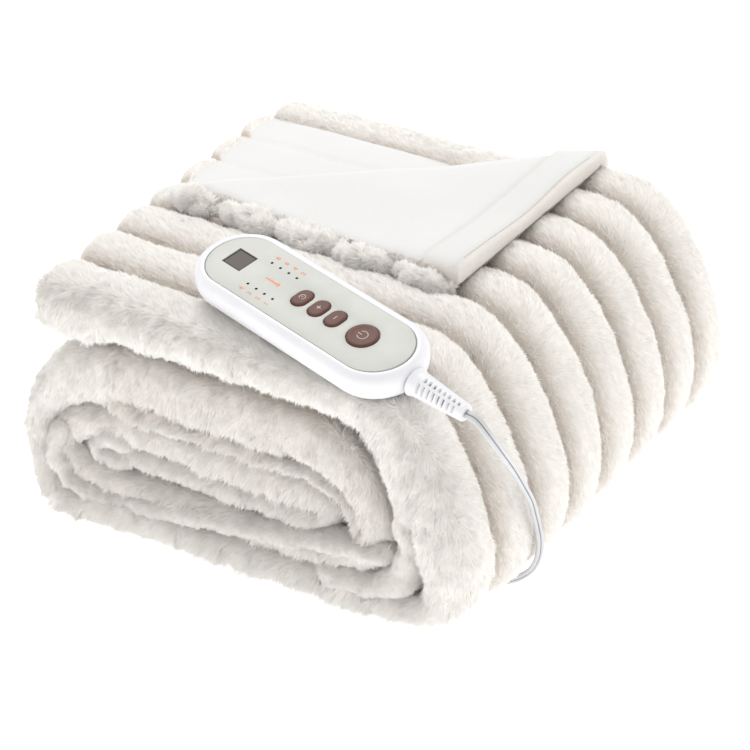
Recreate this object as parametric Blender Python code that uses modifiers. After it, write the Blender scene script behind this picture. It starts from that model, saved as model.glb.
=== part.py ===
"""Heated throw blanket, folded lengthwise in four and rolled up, with its hand control lying on top.

Frame: metres, +Z up. X runs along the ribs of the top layer, Y along the axis of the roll (front at -Y),
and the origin is the centre of the flat underside. The tables below are in millimetres, with x counted
from the left side of the roll and y from its front.
"""

import math

import bmesh
import bpy
from mathutils import Euler, Matrix, Vector

MM = 0.001
GAP = 0.3                        # air between two pieces that touch

# ---- the folded strip
RIBS = 8
RIB_PITCH = 39.7                 # 1270 mm of cloth, folded in four, eight channels to a ply
STRIP_WIDTH = RIBS * RIB_PITCH
RIB_POINTS = (0.0, 0.16, 0.5, 0.84)
RIB_ROUNDNESS = 0.55             # 1 is a sine wave, smaller is fuller with a tighter seam
PLY = 7.0                        # one ply of fur and plush
FRONT_ROUND = 13.0               # how far in from the front fold the cloth is still rounding
FOLD_NOSE = 3.5                  # y of the first point on either face
END_ROUND = 4.5                  # how far in from a loose end the strip reaches its full thickness
BACK_EDGE = (                    # from the outer face to the inner one: two slits part the hems
    # depth in from the edge, level (1 outer face, -1 inner face)
    (0.0, 0.93), (0.0, 0.58), (13.0, 0.50), (1.0, 0.42), (1.0, 0.07),
    (15.0, 0.00), (2.0, -0.07), (0.0, -0.35), (0.0, -0.80),
)

# ---- the roll, seen from the front: its flat runs and the turns between them, from the loose end inwards
CENTRE_X = 148.0
CENTRE_Y = STRIP_WIDTH / 2.0
RUNS = (
    # front is where the strip's front fold stands, at the start of the run and at its end
    # name, x_from, x_to, z, outer, inner, rib_out, rib_in, front, front_to, steps
    ("top",         12, 228, 140.5, 10.0, 13.0, 8.0, 1.5,   0.0,  0.0, 15),
    ("underneath", 244,  50,  10.5, 10.5,  9.5, 0.0, 1.0,  11.0, -2.0,  4),
    ("second",      54, 186,  97.5, 19.0, 17.0, 1.5, 1.5,   8.0, 10.0,  4),
    ("fifth",      188,  60,  30.6,  7.0,  7.0, 0.7, 0.7,  12.0,  7.0,  3),
    ("third",       60, 188,  67.0,  8.4,  8.0, 0.7, 0.7,  11.0, 14.0,  3),
    ("core",       187,  50,  48.3,  7.2,  7.2, 0.7, 0.7,  15.0, 13.0,  4),
)
TURNS = (
    # slump over 1 puts the widest point late in the turn, fullness under 1 makes it squarer
    # name, bulge, slump, fullness, outer, inner, rib_out, rib_in, front, steps
    ("right_outer", 44.0, 1.40, 0.85, 10.0, 14.5, 10.0, 1.5, -6.0, 12),
    ("left_outer",  54.0, 0.92, 0.74,  8.5,  8.0,  2.0, 1.0,  3.0,  8),
    ("right_inner", 43.0, 1.20, 1.00, 11.0, 11.0,  1.5, 1.0, 12.0,  7),
    ("left_inner",  43.0, 1.00, 1.00,  7.5,  7.0,  0.7, 0.7,  7.0,  6),
    ("core_right",  15.0, 1.00, 1.00,  7.0,  2.5,  0.7, 0.7, 17.0,  5),
)
LOOSE_END = 60.0                 # how far along the strip its loose end is shaped
END_PUFF = 5.0                   # how far each rib swells past the hem at the loose end
END_SLANT = 33.0                 # how far the loose end runs out towards the back,
SLANT_FROM, SLANT_TO = 30.0, 255.0     # between these distances from the front
END_DROOP = 8.0

# ---- the turned-back corner of the top ply
CREST = 158.5                    # height of the ribs of the top layer
FOLD_LEFT = Vector((11.0, 134.0))      # the fold line, from the loose end
FOLD_RIGHT = Vector((210.0, 317.0))    # to the back edge
CORNER = Vector((219.0, 118.0))        # where the turned corner comes to lie
FOLD_SOFTNESS = 10.0
UNDER_HEM = 272.0                # y of the hem of the ply below
BAND_CREST = 150.0               # the folded plies that show behind that hem
BAND_MIDDLE = 298.0
BAND_CURVE = 0.02
CORNER_RIBS = 5
CORNER_PLY = 9.0
CORNER_SUNK = 2.0
HEM_PUFF = 7.0

# ---- the hand control, in its own axes: x along it, z out of its face
CONTROL_AT = Vector((178.0, 31.0, 175.0))      # centre of the face
CONTROL_TURN = (12.0, 5.5, -13.0)              # degrees about x, y and z
HOUSING = (160.0, 55.0, 18.0)                  # length, width, thickness
FACE = (145.5, 42.0, 1.3)
DISPLAY = (14.5, 14.0, 0.9)
DISPLAY_X = -55.0
PILL_X = (-4.4, 8.6, 21.4)
PILL = (9.6, 13.6)
POWER_X = 42.2
POWER_RADIUS = 8.9
BUTTON_PROUD = 1.0
BUTTON_FOOT = -4.6
BUTTON_CLEARANCE = 0.4
POCKET_FLOOR = -5.9
RELIEF_X = (HOUSING[0] / 2.0 + GAP, HOUSING[0] / 2.0 + 36.5)
RELIEF_Z = -9.5
RELIEF_RADII = (7.6, 4.8)
RELIEF_SLOTS = 8
BED_GAP = 1.0                    # the cloth under the control
BED_MARGIN = 16.0

# ---- the lead, from the control down the side of the roll to the gap under the second rib
LEAD_WIDTH = 4.8
LEAD_STEP = 8.0
LEAD_ROUTE = (
    (304.6, 7.8, 144.8), (306.6, 14.6, 134.0), (306.8, 22.9, 123.2), (305.8, 32.5, 111.6),
    (305.0, 43.2, 97.2), (303.6, 55.5, 80.5), (302.8, 61.9, 68.2), (302.4, 66.8, 57.0),
    (301.8, 70.9, 46.5), (300.4, 73.8, 37.0), (297.6, 76.6, 27.6), (293.0, 78.8, 18.2),
    (286.2, 79.4, 10.5), (279.6, 79.4, 5.8), (274.5, 79.4, 3.8),
)

COLOURS = {
    # name: colour, roughness
    "fur": ((0.80, 0.77, 0.72), 0.95),
    "white_plastic": ((0.86, 0.86, 0.88), 0.35),
    "face_plastic": ((0.66, 0.67, 0.62), 0.45),
    "brown_plastic": ((0.17, 0.08, 0.06), 0.35),
    "display_plastic": ((0.09, 0.08, 0.06), 0.15),
}


# ---------------------------------------------------------------- helpers

def clear_scene():
    for old in list(bpy.data.objects):
        bpy.data.objects.remove(old, do_unlink=True)


def new_collection(name, hidden=False):
    collection = bpy.data.collections.new(name)
    collection.hide_render = hidden
    bpy.context.scene.collection.children.link(collection)
    return collection


def material(name):
    colour, roughness = COLOURS[name]
    found = bpy.data.materials.get(name) or bpy.data.materials.new(name)
    found.use_nodes = True
    shader = found.node_tree.nodes["Principled BSDF"]
    shader.inputs["Base Color"].default_value = (*colour, 1.0)
    shader.inputs["Roughness"].default_value = roughness
    shader.inputs["Metallic"].default_value = 0.0
    return found


def solid_from(shape, name, collection, finish, parent=None):
    """Makes the bmesh an object; its faces are turned outwards first."""
    bmesh.ops.recalc_face_normals(shape, faces=shape.faces)
    mesh = bpy.data.meshes.new(name)
    shape.to_mesh(mesh)
    shape.free()
    mesh.shade_smooth()
    mesh.set_sharp_from_angle(angle=math.radians(35.0))
    mesh.materials.append(material(finish))
    made = bpy.data.objects.new(name, mesh)
    made.parent = parent
    collection.objects.link(made)
    return made


def add_bevel(target, width, segments):
    bevel = target.modifiers.new("Bevel", "BEVEL")
    bevel.width = width * MM
    bevel.segments = segments
    bevel.limit_method = "ANGLE"
    bevel.angle_limit = math.radians(40.0)


def add_boolean(target, other, operation, cutters):
    """Joins or cuts with another object, which becomes a hidden helper."""
    boolean = target.modifiers.new("Boolean", "BOOLEAN")
    boolean.operation = operation
    boolean.object = other
    for collection in list(other.users_collection):
        collection.objects.unlink(other)
    cutters.objects.link(other)
    other.hide_render = True
    other.display_type = "WIRE"


def smooth(value):
    """0 below 0, 1 above 1 and a soft step between."""
    value = min(max(value, 0.0), 1.0)
    return value * value * (3.0 - 2.0 * value)


def mix(first, second, share):
    return [a + (b - a) * share for a, b in zip(first, second)]


def rolled_grid(around, along, place, far, stop):
    """A closed solid: a grid rolled into a tube, welded along its seam and filled at both ends.

    place(ring, step) gives the point, in design millimetres. Point 0 of the ring faces point far across
    the section, 1 faces far - 1 and so on; the ends are filled straight across as far as stop."""
    shape = bmesh.new()
    bmesh.ops.create_grid(shape, x_segments=around, y_segments=along, size=1.0)
    origin = Vector((CENTRE_X, CENTRE_Y, 0.0))
    rows = [[None] * (around + 1) for _ in range(along + 1)]
    for vertex in shape.verts:
        ring = round((vertex.co.x + 1.0) / 2.0 * around)
        step = round((vertex.co.y + 1.0) / 2.0 * along)
        vertex.co = (Vector(place(ring % around, step)) - origin) * MM
        rows[step][ring] = vertex
    bmesh.ops.weld_verts(shape, targetmap={row[around]: row[0] for row in rows})
    for row in (rows[0][:around], rows[-1][:around]):
        ends = [shape.faces.new((row[k], row[k + 1], row[far - k - 1], row[far - k])) for k in range(stop)]
        if far - stop > stop + 1:
            ends.append(shape.faces.new(row[stop:far - stop + 1]))
        if far + 1 < around:
            ends.append(shape.faces.new(row[far:] + row[:1]))
        shape.normal_update()
        bmesh.ops.triangulate(shape, faces=ends, ngon_method="EAR_CLIP")
    return shape


# ---------------------------------------------------------------- the roll

def wound_path():
    """Stations along the middle of the strip: x, z, outer, inner, rib_out, rib_in, front."""
    stations = []
    for index, (_, x_from, x_to, z, *sizes, front_to, steps) in enumerate(RUNS):
        for step in range(steps + 1):
            front = mix(sizes[-1:], [front_to], step / steps)
            stations.append([x_from + (x_to - x_from) * step / steps, z, *sizes[:-1], *front])
        if index == len(TURNS):
            break
        _, bulge, slump, fullness, *apex, steps = TURNS[index]
        _, next_x, _, next_z, *next_sizes, _, _ = RUNS[index + 1]
        sizes = [*sizes[:-1], front_to]
        side = 1.0 if x_to > x_from else -1.0
        for step in range(1, steps):
            share = step / steps
            reach = bulge * math.sin(math.pi * share ** slump) ** fullness
            x = x_to + (next_x - x_to) * share + side * reach
            height = next_z + (z - next_z) * (1.0 + math.cos(math.pi * share)) / 2.0
            if share < 0.5:
                near = mix(sizes, apex, smooth(share * 2.0))
            else:
                near = mix(apex, next_sizes, smooth(share * 2.0 - 1.0))
            stations.append([x, height, *near])
    for end, slot in ((0, 1), (-1, -1)):
        rounded = list(stations[end])
        rounded[0] += END_ROUND
        stations.insert(slot, rounded)
    return stations


def normals_of(stations):
    """The outward direction at each station, from its neighbours."""
    found = []
    last = len(stations) - 1
    for index in range(last + 1):
        before = stations[max(index - 1, 0)]
        after = stations[min(index + 1, last)]
        across = Vector((before[1] - after[1], after[0] - before[0])).normalized()
        found.append(across)
    return found


def strip_section():
    """Points round the folded strip, front fold to back edge and home again: y, face, level."""
    offsets = [(rib + share) * RIB_PITCH for rib in range(RIBS) for share in RIB_POINTS]
    offsets = [max(y, FOLD_NOSE) for y in offsets] + [STRIP_WIDTH]
    points = [(y, "outer", 1.0) for y in offsets]
    points += [(STRIP_WIDTH - depth, "edge", level) for depth, level in BACK_EDGE]
    points += [(y, "inner", -1.0) for y in reversed(offsets)]
    points.append((0.0, "edge", 0.0))
    return points


def rib_height(y):
    """0 in the seam between two ribs, 1 on a rib's crest."""
    return abs(math.sin(math.pi * y / RIB_PITCH)) ** RIB_ROUNDNESS


def front_rounding(y):
    return math.sqrt(1.0 - (1.0 - min(y / FRONT_ROUND, 1.0)) ** 2)


def control_frame():
    turn = Euler([math.radians(angle) for angle in CONTROL_TURN])
    return Matrix.Translation(CONTROL_AT) @ turn.to_matrix().to_4x4()


def behind_fold(x, y):
    """How far a point lies behind the fold line, where the top ply is missing."""
    along = (FOLD_RIGHT - FOLD_LEFT).normalized()
    return along.cross(Vector((x, y)) - FOLD_LEFT)


def bare_height(y):
    """The top of the ply below, and of the folded band behind its hem."""
    if y < UNDER_HEM:
        return CREST - PLY
    return BAND_CREST - BAND_CURVE * (y - BAND_MIDDLE) ** 2


def bed_height(x, y):
    """The highest that the cloth may stand under the control."""
    frame = control_frame()
    under = frame @ Vector((0.0, 0.0, -HOUSING[2] - BED_GAP))
    out = frame.col[2]
    plane = under.z - (out.x * (x - under.x) + out.y * (y - under.y)) / out.z
    local = frame.inverted() @ Vector((x, y, plane))
    past_end = max(abs(local.x) - (HOUSING[0] - HOUSING[1]) / 2.0, 0.0)
    outside = math.hypot(past_end, local.y) - HOUSING[1] / 2.0
    return plane + max(0.0, outside - BED_MARGIN)


def relieved(x, y, z):
    """The top face's height, with the corner turned back and the control pressed in."""
    share = smooth(behind_fold(x, y) / FOLD_SOFTNESS + 0.5)
    z += (min(bare_height(y), z) - z) * share
    return min(z, bed_height(x, y))


def blanket_roll(collection):
    """The strip's section carried along the spiral, as one solid."""
    stations = wound_path()
    across = normals_of(stations)
    section = strip_section()
    last = len(stations) - 1
    top_steps = RUNS[0][-1] + 4

    def place(ring, step):
        x, z, outer, inner, rib_out, rib_in, front = stations[step]
        out = across[step]
        y, face, level = section[ring]
        thin = 0.6 if step in (0, last) else 1.0
        rib = rib_height(y)
        if face == "outer":
            reach = (outer + rib_out * rib) * front_rounding(y)
        elif face == "inner":
            reach = -(inner + rib_in * rib) * front_rounding(y)
        else:
            reach = level * (outer if level > 0.0 else inner)
        px = x + out.x * reach * thin
        pz = z + out.y * reach * thin
        py = y + front * (1.0 - y / STRIP_WIDTH) ** 3
        if step <= top_steps and face != "inner":
            if face == "outer":
                pz = relieved(px, py, pz)
            else:
                top, base = z + outer * thin, z - inner * thin
                pz = base + (pz - base) * (relieved(px, STRIP_WIDTH, top) - base) / (top - base)
        loose = 1.0 - smooth((x - RUNS[0][1]) / LOOSE_END) if step <= top_steps else 0.0
        slant = min(max((y - SLANT_FROM) / (SLANT_TO - SLANT_FROM), 0.0), 1.0)
        px -= loose * (END_SLANT * slant + END_PUFF * rib)
        if face == "inner":
            pz -= loose * END_DROOP
        return px, py, max(pz, 0.0)

    shape = rolled_grid(len(section), last, place, len(section) - 2, len(RIB_POINTS) * RIBS - 2)
    return solid_from(shape, "blanket", collection, "fur")


def turned_corner(collection):
    """The corner of the top ply, laid over on the fold line, plush side up."""
    across, along = 9, 15
    left, right = FOLD_LEFT.to_3d(), FOLD_RIGHT.to_3d()
    corner = CORNER.to_3d()

    def place(ring, step):
        share = 0.04 + 0.96 * step / along
        upper = ring <= across
        to_fold = (ring if upper else 2 * across + 1 - ring) / across
        hem_point = left + (corner - left) * share
        fold_point = left + (right - left) * share
        spot = hem_point + (fold_point - hem_point) * to_fold
        puff = HEM_PUFF * abs(math.sin(math.pi * CORNER_RIBS * share)) * (1.0 - to_fold) ** 2
        spot.y -= puff
        end_thin = 0.6 if step in (0, along) else 1.0
        edge_thin = 0.55 + 0.45 * math.sin(math.pi * min(max(to_fold, 0.12), 0.88))
        middle = CREST - CORNER_SUNK + CORNER_PLY / 2.0
        half = CORNER_PLY / 2.0 * end_thin * edge_thin
        top = middle + half + 0.2 * puff
        base = middle - half - 0.9 * puff
        roll = smooth((to_fold - 0.75) / 0.25)
        spot += Vector((-1.0, 1.0, 0.0)) * 4.0 * roll * share
        spot.z = top - 3.0 * roll if upper else base - (PLY + 1.5) * roll
        return spot

    shape = rolled_grid(2 * across + 2, along, place, 2 * across + 1, across)
    return solid_from(shape, "turned_corner", collection, "fur")


# ---------------------------------------------------------------- the hand control

def stadium(length, width, bottom, top, segments=32, middle=Vector((0.0, 0.0))):
    """An upright slab with round ends, long along x, or along y where it is wider than long."""
    shape = bmesh.new()
    made = bmesh.ops.create_circle(shape, cap_ends=True, segments=segments, radius=min(length, width) / 2.0)
    bmesh.ops.rotate(shape, verts=made["verts"], matrix=Matrix.Rotation(math.pi / segments, 3, "Z"))
    stretch = Vector(((length - width) / 2.0, 0.0)) if length > width else Vector((0.0, (width - length) / 2.0))
    for vertex in made["verts"]:
        vertex.co.x += math.copysign(stretch.x, vertex.co.x) + middle.x
        vertex.co.y += math.copysign(stretch.y, vertex.co.y) + middle.y
        vertex.co.z = bottom
    raised = bmesh.ops.extrude_face_region(shape, geom=shape.faces[:])
    lifted = [part for part in raised["geom"] if isinstance(part, bmesh.types.BMVert)]
    bmesh.ops.translate(shape, verts=lifted, vec=(0.0, 0.0, top - bottom))
    bmesh.ops.scale(shape, verts=shape.verts, vec=(MM, MM, MM))
    return shape


def block(size, middle):
    shape = bmesh.new()
    bmesh.ops.create_cube(shape, size=1.0)
    bmesh.ops.scale(shape, verts=shape.verts, vec=Vector(size) * MM)
    bmesh.ops.translate(shape, verts=shape.verts, vec=Vector(middle) * MM)
    return shape


def button_shapes():
    """name, x, length and width of each button."""
    for index, x in enumerate(PILL_X):
        yield f"button_{index + 1}", x, PILL
    yield "power_button", POWER_X, (2.0 * POWER_RADIUS, 2.0 * POWER_RADIUS)


def cut(target, shape, name, collections):
    parts, cutters = collections
    helper = solid_from(shape, name, parts, "white_plastic", target.parent)
    add_boolean(target, helper, "DIFFERENCE", cutters)


def housing(collections, hub):
    length, width, thickness = HOUSING
    made = solid_from(stadium(length, width, -thickness, 0.0, 40), "housing", collections[0], "white_plastic", hub)
    add_bevel(made, 6.0, 4)
    recess = stadium(FACE[0] + 2 * GAP, FACE[1] + 2 * GAP, -FACE[2] - GAP, 2.0, 40)
    cut(made, recess, "face_recess", collections)
    for name, x, (button_length, button_width) in button_shapes():
        room = 2 * BUTTON_CLEARANCE
        pocket = stadium(button_length + room, button_width + room, POCKET_FLOOR, 2.0, 20, Vector((x, 0.0)))
        cut(made, pocket, name + "_pocket", collections)


def face_plate(collections, hub):
    made = solid_from(stadium(FACE[0], FACE[1], -FACE[2], 0.0, 40), "faceplate", collections[0], "face_plastic", hub)
    for name, x, (button_length, button_width) in button_shapes():
        room = 2 * BUTTON_CLEARANCE
        hole = stadium(button_length + room, button_width + room, -4.0, 2.0, 20, Vector((x, 0.0)))
        cut(made, hole, name + "_hole", collections)
    opening = block((DISPLAY[0] + 2 * GAP, DISPLAY[1] + 2 * GAP, 6.0), (DISPLAY_X, 0.0, 0.0))
    cut(made, opening, "display_opening", collections)


def display(collections, hub):
    middle = (DISPLAY_X, 0.0, -DISPLAY[2] / 2.0 - 0.2)
    solid_from(block(DISPLAY, middle), "display_window", collections[0], "display_plastic", hub)


def buttons(collections, hub):
    for name, x, (button_length, button_width) in button_shapes():
        shape = stadium(button_length, button_width, BUTTON_FOOT, BUTTON_PROUD, 20)
        made = solid_from(shape, name, collections[0], "brown_plastic", hub)
        made.location = (x * MM, 0.0, 0.0)
        add_bevel(made, 0.5, 2)


def strain_relief(collections, hub):
    """A tapered boot with a row of slots along either side."""
    start, end = RELIEF_X
    shape = bmesh.new()
    bmesh.ops.create_cone(
        shape, cap_ends=True, segments=16, radius1=RELIEF_RADII[0], radius2=RELIEF_RADII[1], depth=end - start,
    )
    bmesh.ops.rotate(shape, verts=shape.verts, matrix=Matrix.Rotation(math.pi / 2.0, 3, "Y"))
    bmesh.ops.translate(shape, verts=shape.verts, vec=((start + end) / 2.0, 0.0, RELIEF_Z))
    bmesh.ops.scale(shape, verts=shape.verts, vec=(MM, MM, MM))
    made = solid_from(shape, "strain_relief", collections[0], "white_plastic", hub)
    for side in (-1.0, 1.0):
        slots = bmesh.new()
        for index in range(RELIEF_SLOTS):
            share = (index + 1.5) / (RELIEF_SLOTS + 1.5)
            radius = RELIEF_RADII[0] + (RELIEF_RADII[1] - RELIEF_RADII[0]) * share
            before = len(slots.verts)
            bmesh.ops.create_cube(slots, size=1.0)
            slots.verts.ensure_lookup_table()
            fresh = slots.verts[before:]
            bmesh.ops.scale(slots, verts=fresh, vec=(1.8, 4.0, radius * 1.2))
            spot = Vector((start + (end - start) * share, side * (radius + 0.7), RELIEF_Z))
            bmesh.ops.translate(slots, verts=fresh, vec=spot)
        bmesh.ops.scale(slots, verts=slots.verts, vec=(MM, MM, MM))
        cut(made, slots, "relief_slots", collections)


def lead(collection, frame):
    """The round lead, along a smooth curve through its route."""
    start = frame @ Vector((RELIEF_X[1] + GAP, 0.0, RELIEF_Z))
    straight = frame @ Vector((RELIEF_X[1] + 2.0 * LEAD_WIDTH * 0.8, 0.0, RELIEF_Z))
    knots = [start, straight] + [Vector(point) for point in LEAD_ROUTE]
    knots = [knots[0] * 2.0 - knots[1]] + knots + [knots[-1] * 2.0 - knots[-2]]
    points = []
    for before, here, after, later in zip(knots, knots[1:], knots[2:], knots[3:]):
        count = max(1, round((after - here).length / LEAD_STEP))
        for step in range(count):
            t = step / count
            points.append(0.5 * (2.0 * here + (after - before) * t
                                 + (2.0 * before - 5.0 * here + 4.0 * after - later) * t ** 2
                                 + (3.0 * here - before - 3.0 * after + later) * t ** 3))
    points.append(knots[-2])
    curve = bpy.data.curves.new("lead", "CURVE")
    curve.dimensions = "3D"
    curve.bevel_depth = LEAD_WIDTH / 2.0 * MM
    curve.bevel_resolution = 2
    curve.use_fill_caps = True
    spline = curve.splines.new("POLY")
    spline.points.add(len(points) - 1)
    origin = Vector((CENTRE_X, CENTRE_Y, 0.0))
    for slot, point in zip(spline.points, points):
        slot.co = (*((point - origin) * MM), 1.0)
    curve.materials.append(material("white_plastic"))
    collection.objects.link(bpy.data.objects.new("lead", curve))


def main():
    clear_scene()
    parts = new_collection("heated_blanket")
    cutters = new_collection("cutters", hidden=True)
    collections = (parts, cutters)

    blanket = blanket_roll(parts)
    corner = turned_corner(parts)
    add_boolean(blanket, corner, "UNION", cutters)

    frame = control_frame()
    hub = bpy.data.objects.new("control_hub", None)
    hub.location = (CONTROL_AT - Vector((CENTRE_X, CENTRE_Y, 0.0))) * MM
    hub.rotation_euler = [math.radians(angle) for angle in CONTROL_TURN]
    parts.objects.link(hub)
    housing(collections, hub)
    face_plate(collections, hub)
    display(collections, hub)
    buttons(collections, hub)
    strain_relief(collections, hub)
    lead(parts, frame)


main()
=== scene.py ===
import math
import bmesh
import bpy
import numpy as np
from mathutils import Euler, Matrix, Vector
from mathutils.bvhtree import BVHTree

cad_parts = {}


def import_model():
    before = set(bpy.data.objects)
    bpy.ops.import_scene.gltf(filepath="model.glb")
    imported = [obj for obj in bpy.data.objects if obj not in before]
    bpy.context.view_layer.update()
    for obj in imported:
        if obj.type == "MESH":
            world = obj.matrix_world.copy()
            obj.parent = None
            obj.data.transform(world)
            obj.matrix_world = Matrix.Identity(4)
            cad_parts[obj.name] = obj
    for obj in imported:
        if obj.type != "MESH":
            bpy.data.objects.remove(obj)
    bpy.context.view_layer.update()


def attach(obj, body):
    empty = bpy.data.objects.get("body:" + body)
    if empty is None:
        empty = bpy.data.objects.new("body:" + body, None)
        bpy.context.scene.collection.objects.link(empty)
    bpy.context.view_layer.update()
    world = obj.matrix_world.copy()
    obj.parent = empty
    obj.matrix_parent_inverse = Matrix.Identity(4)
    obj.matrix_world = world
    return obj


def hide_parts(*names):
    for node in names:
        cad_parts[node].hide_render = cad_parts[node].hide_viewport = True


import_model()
mm = 0.001

# Tables are in millimetres: x from the left of the roll, y from its front, z from the floor.
# The frame's origin is the middle of the underside.
middle = np.array((148.0, 158.8, 0.0))


def toFrame(points):
    return (np.asarray(points, float) - middle) * mm


# ---------- camera, light and floor
shot = {
    "azimuth": 33.0, "elevation": 29.8, "target": (160.0, 124.0, 80.0),
    # focal length and frame in pixels
    "distance": 1.290, "focal": 2200.0, "frame": 750,
}
light = {
    "world": 0.86, "worldColour": (1.0, 1.0, 1.0),
    "lamps": (
        # name, energy, size, place, colour
        ("key", 9.6, 0.8, (-0.60, 0.52, 1.36), (1.0, 1.0, 0.995)),
        ("right", 5.4, 0.8, (1.45, 0.95, 0.85), (1.0, 0.995, 0.985)),
        ("front", 3.0, 1.6, (-0.55, -1.70, 0.55), (1.0, 0.975, 0.945)),
    ),
}


def setCamera():
    a, e = math.radians(shot["azimuth"]), math.radians(shot["elevation"])
    back = Vector((math.sin(a) * math.cos(e), -math.cos(a) * math.cos(e), math.sin(e)))
    data = bpy.data.cameras.new("photoCamera")
    data.sensor_width = 36.0
    data.lens = shot["focal"] * data.sensor_width / shot["frame"]
    data.clip_start, data.clip_end = 0.05, 20.0
    camera = bpy.data.objects.new("photoCamera", data)
    camera.location = Vector(toFrame(shot["target"])) + back * shot["distance"]
    camera.rotation_euler = (-back).to_track_quat("-Z", "Y").to_euler()
    bpy.context.scene.collection.objects.link(camera)
    bpy.context.scene.camera = camera
    return camera.location.copy()


def areaLight(name, energy, size, at, colour):
    data = bpy.data.lights.new(name, "AREA")
    data.energy, data.size, data.color = energy, size, colour
    lamp = bpy.data.objects.new(name, data)
    lamp.location = at
    lamp.rotation_euler = (Vector((0.0, 0.0, 0.08)) - Vector(at)).to_track_quat("-Z", "Y").to_euler()
    bpy.context.scene.collection.objects.link(lamp)


def setLight():
    world = bpy.data.worlds.new("studio")
    world.use_nodes = True
    world.node_tree.nodes["Background"].inputs["Color"].default_value = (*light["worldColour"], 1.0)
    world.node_tree.nodes["Background"].inputs["Strength"].default_value = light["world"]
    bpy.context.scene.world = world
    bpy.context.scene.view_settings.view_transform = "Standard"
    for lamp in light["lamps"]:
        areaLight(*lamp)


cameraAt = setCamera()
setLight()
print("camera and light are set")


# ---------- materials
class Wire:
    # one output socket, with arithmetic on it adding Math nodes
    def __init__(self, tree, socket):
        self.tree, self.socket = tree, socket

    def maths(self, operation, first, second):
        node = self.tree.nodes.new("ShaderNodeMath")
        node.operation = operation
        for slot, value in zip(node.inputs, (first, second)):
            if isinstance(value, Wire):
                self.tree.links.new(value.socket, slot)
            else:
                slot.default_value = value
        return Wire(self.tree, node.outputs[0])

    def __add__(self, other):
        return self.maths("ADD", self, other)

    def __mul__(self, other):
        return self.maths("MULTIPLY", self, other)


class Finish:
    # a material whose Principled shader is wired up piece by piece
    def __init__(self, name, colour, roughness, **constants):
        self.material = bpy.data.materials.new(name)
        self.material.use_nodes = True
        self.tree = self.material.node_tree
        self.shader = self.tree.nodes["Principled BSDF"]
        self.give("Base Color", (*colour, 1.0))
        self.give("Roughness", roughness)
        for name, value in constants.items():
            self.give(name.replace("_", " "), value)

    def give(self, name, value, node=None):
        socket = (node or self.shader).inputs[name]
        if isinstance(value, Wire):
            self.tree.links.new(value.socket, socket)
        else:
            socket.default_value = value

    def node(self, kind, settings=None, inputs=None, output=0):
        made = self.tree.nodes.new("ShaderNode" + kind)
        for name, value in (settings or {}).items():
            setattr(made, name, value)
        for name, value in (inputs or {}).items():
            self.give(name, value, made)
        return Wire(self.tree, made.outputs[output])

    def attribute(self, name):
        return self.node("Attribute", {"attribute_name": name}, output="Fac")

    def noise(self, scale, detail=3.0, roughness=0.5):
        place = self.node("TexCoord", output="Object")
        return self.node("TexNoise", inputs={
            "Vector": place, "Scale": scale, "Detail": detail, "Roughness": roughness,
        })

    def between(self, share, first, second):
        mix = self.node("Mix", {"data_type": "RGBA"}, output=2)
        node = mix.socket.node
        for slot, value in ((0, share), (6, first), (7, second)):
            if isinstance(value, Wire):
                self.tree.links.new(value.socket, node.inputs[slot])
            else:
                node.inputs[slot].default_value = (*value, 1.0)
        return mix

    def ramp(self, value, low, high):
        return self.node("MapRange", {"interpolation_type": "SMOOTHSTEP"}, {
            "Value": value, "From Min": low, "From Max": high,
        })

    def bump(self, height, strength, distance):
        self.give("Normal", self.node("Bump", inputs={
            "Height": height, "Strength": strength, "Distance": distance,
        }))


def tinted(colour, share):
    return tuple(float(value) for value in np.multiply(colour, share))


furLooks = {
    # root is painted darker than tip, as shade down in the pile; deep is the colour of the painted shade in
    # grooves, creases and recesses
    "tip": (0.975, 0.963, 0.94), "root": (0.87, 0.82, 0.755), "skin": (0.87, 0.825, 0.77),
    "deep": (0.52, 0.44, 0.365), "plush": (0.715, 0.71, 0.698),
    # how much lighter or darker the patches, the dull blades and the lines on the plush are; the plush's line
    # colour is painted shade along the hem and over the hem band, and the darker line of stitches
    "rootPatch": 1.05, "skinPatch": 0.94, "plushPatch": 0.965,
    "dull": (0.81, 0.79, 0.765), "line": (0.72, 0.70, 0.67),
}


def furFinish():
    # tip runs up each blade and its root end is painted darker as shade down in the pile, grain differs from
    # blade to blade, deep is how far down in a seam it stands and how much painted shade it gets
    tip, root = furLooks["tip"], furLooks["root"]
    made = Finish("furPile", tip, 0.92, Sheen_Weight=0.2, Sheen_Roughness=0.6, Specular_IOR_Level=0.1)
    patch = made.ramp(made.noise(22.0, 4.0, 0.6), 0.32, 0.68)
    low = made.between(patch, root, tinted(root, furLooks["rootPatch"]))
    high = made.between(made.attribute("grain"), tinted(tip, furLooks["dull"]), tip)
    along = made.between(made.attribute("tip"), low, high)
    made.give("Base Color", made.between(made.attribute("deep"), along, furLooks["deep"]))
    return made.material


def skinFinish():
    skin = furLooks["skin"]
    made = Finish("furUnderneath", skin, 0.95, Sheen_Weight=0.2, Specular_IOR_Level=0.1)
    patch = made.ramp(made.noise(24.0, 4.0, 0.6), 0.3, 0.7)
    cloth = made.between(patch, tinted(skin, furLooks["skinPatch"]), skin)
    # the cloth under the pile gets the same painted shade in the seams
    made.give("Base Color", made.between(made.attribute("deep"), cloth, furLooks["deep"]))
    made.bump(made.noise(900.0, 3.0, 0.7), 0.9, 0.0012)
    return made.material


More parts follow.
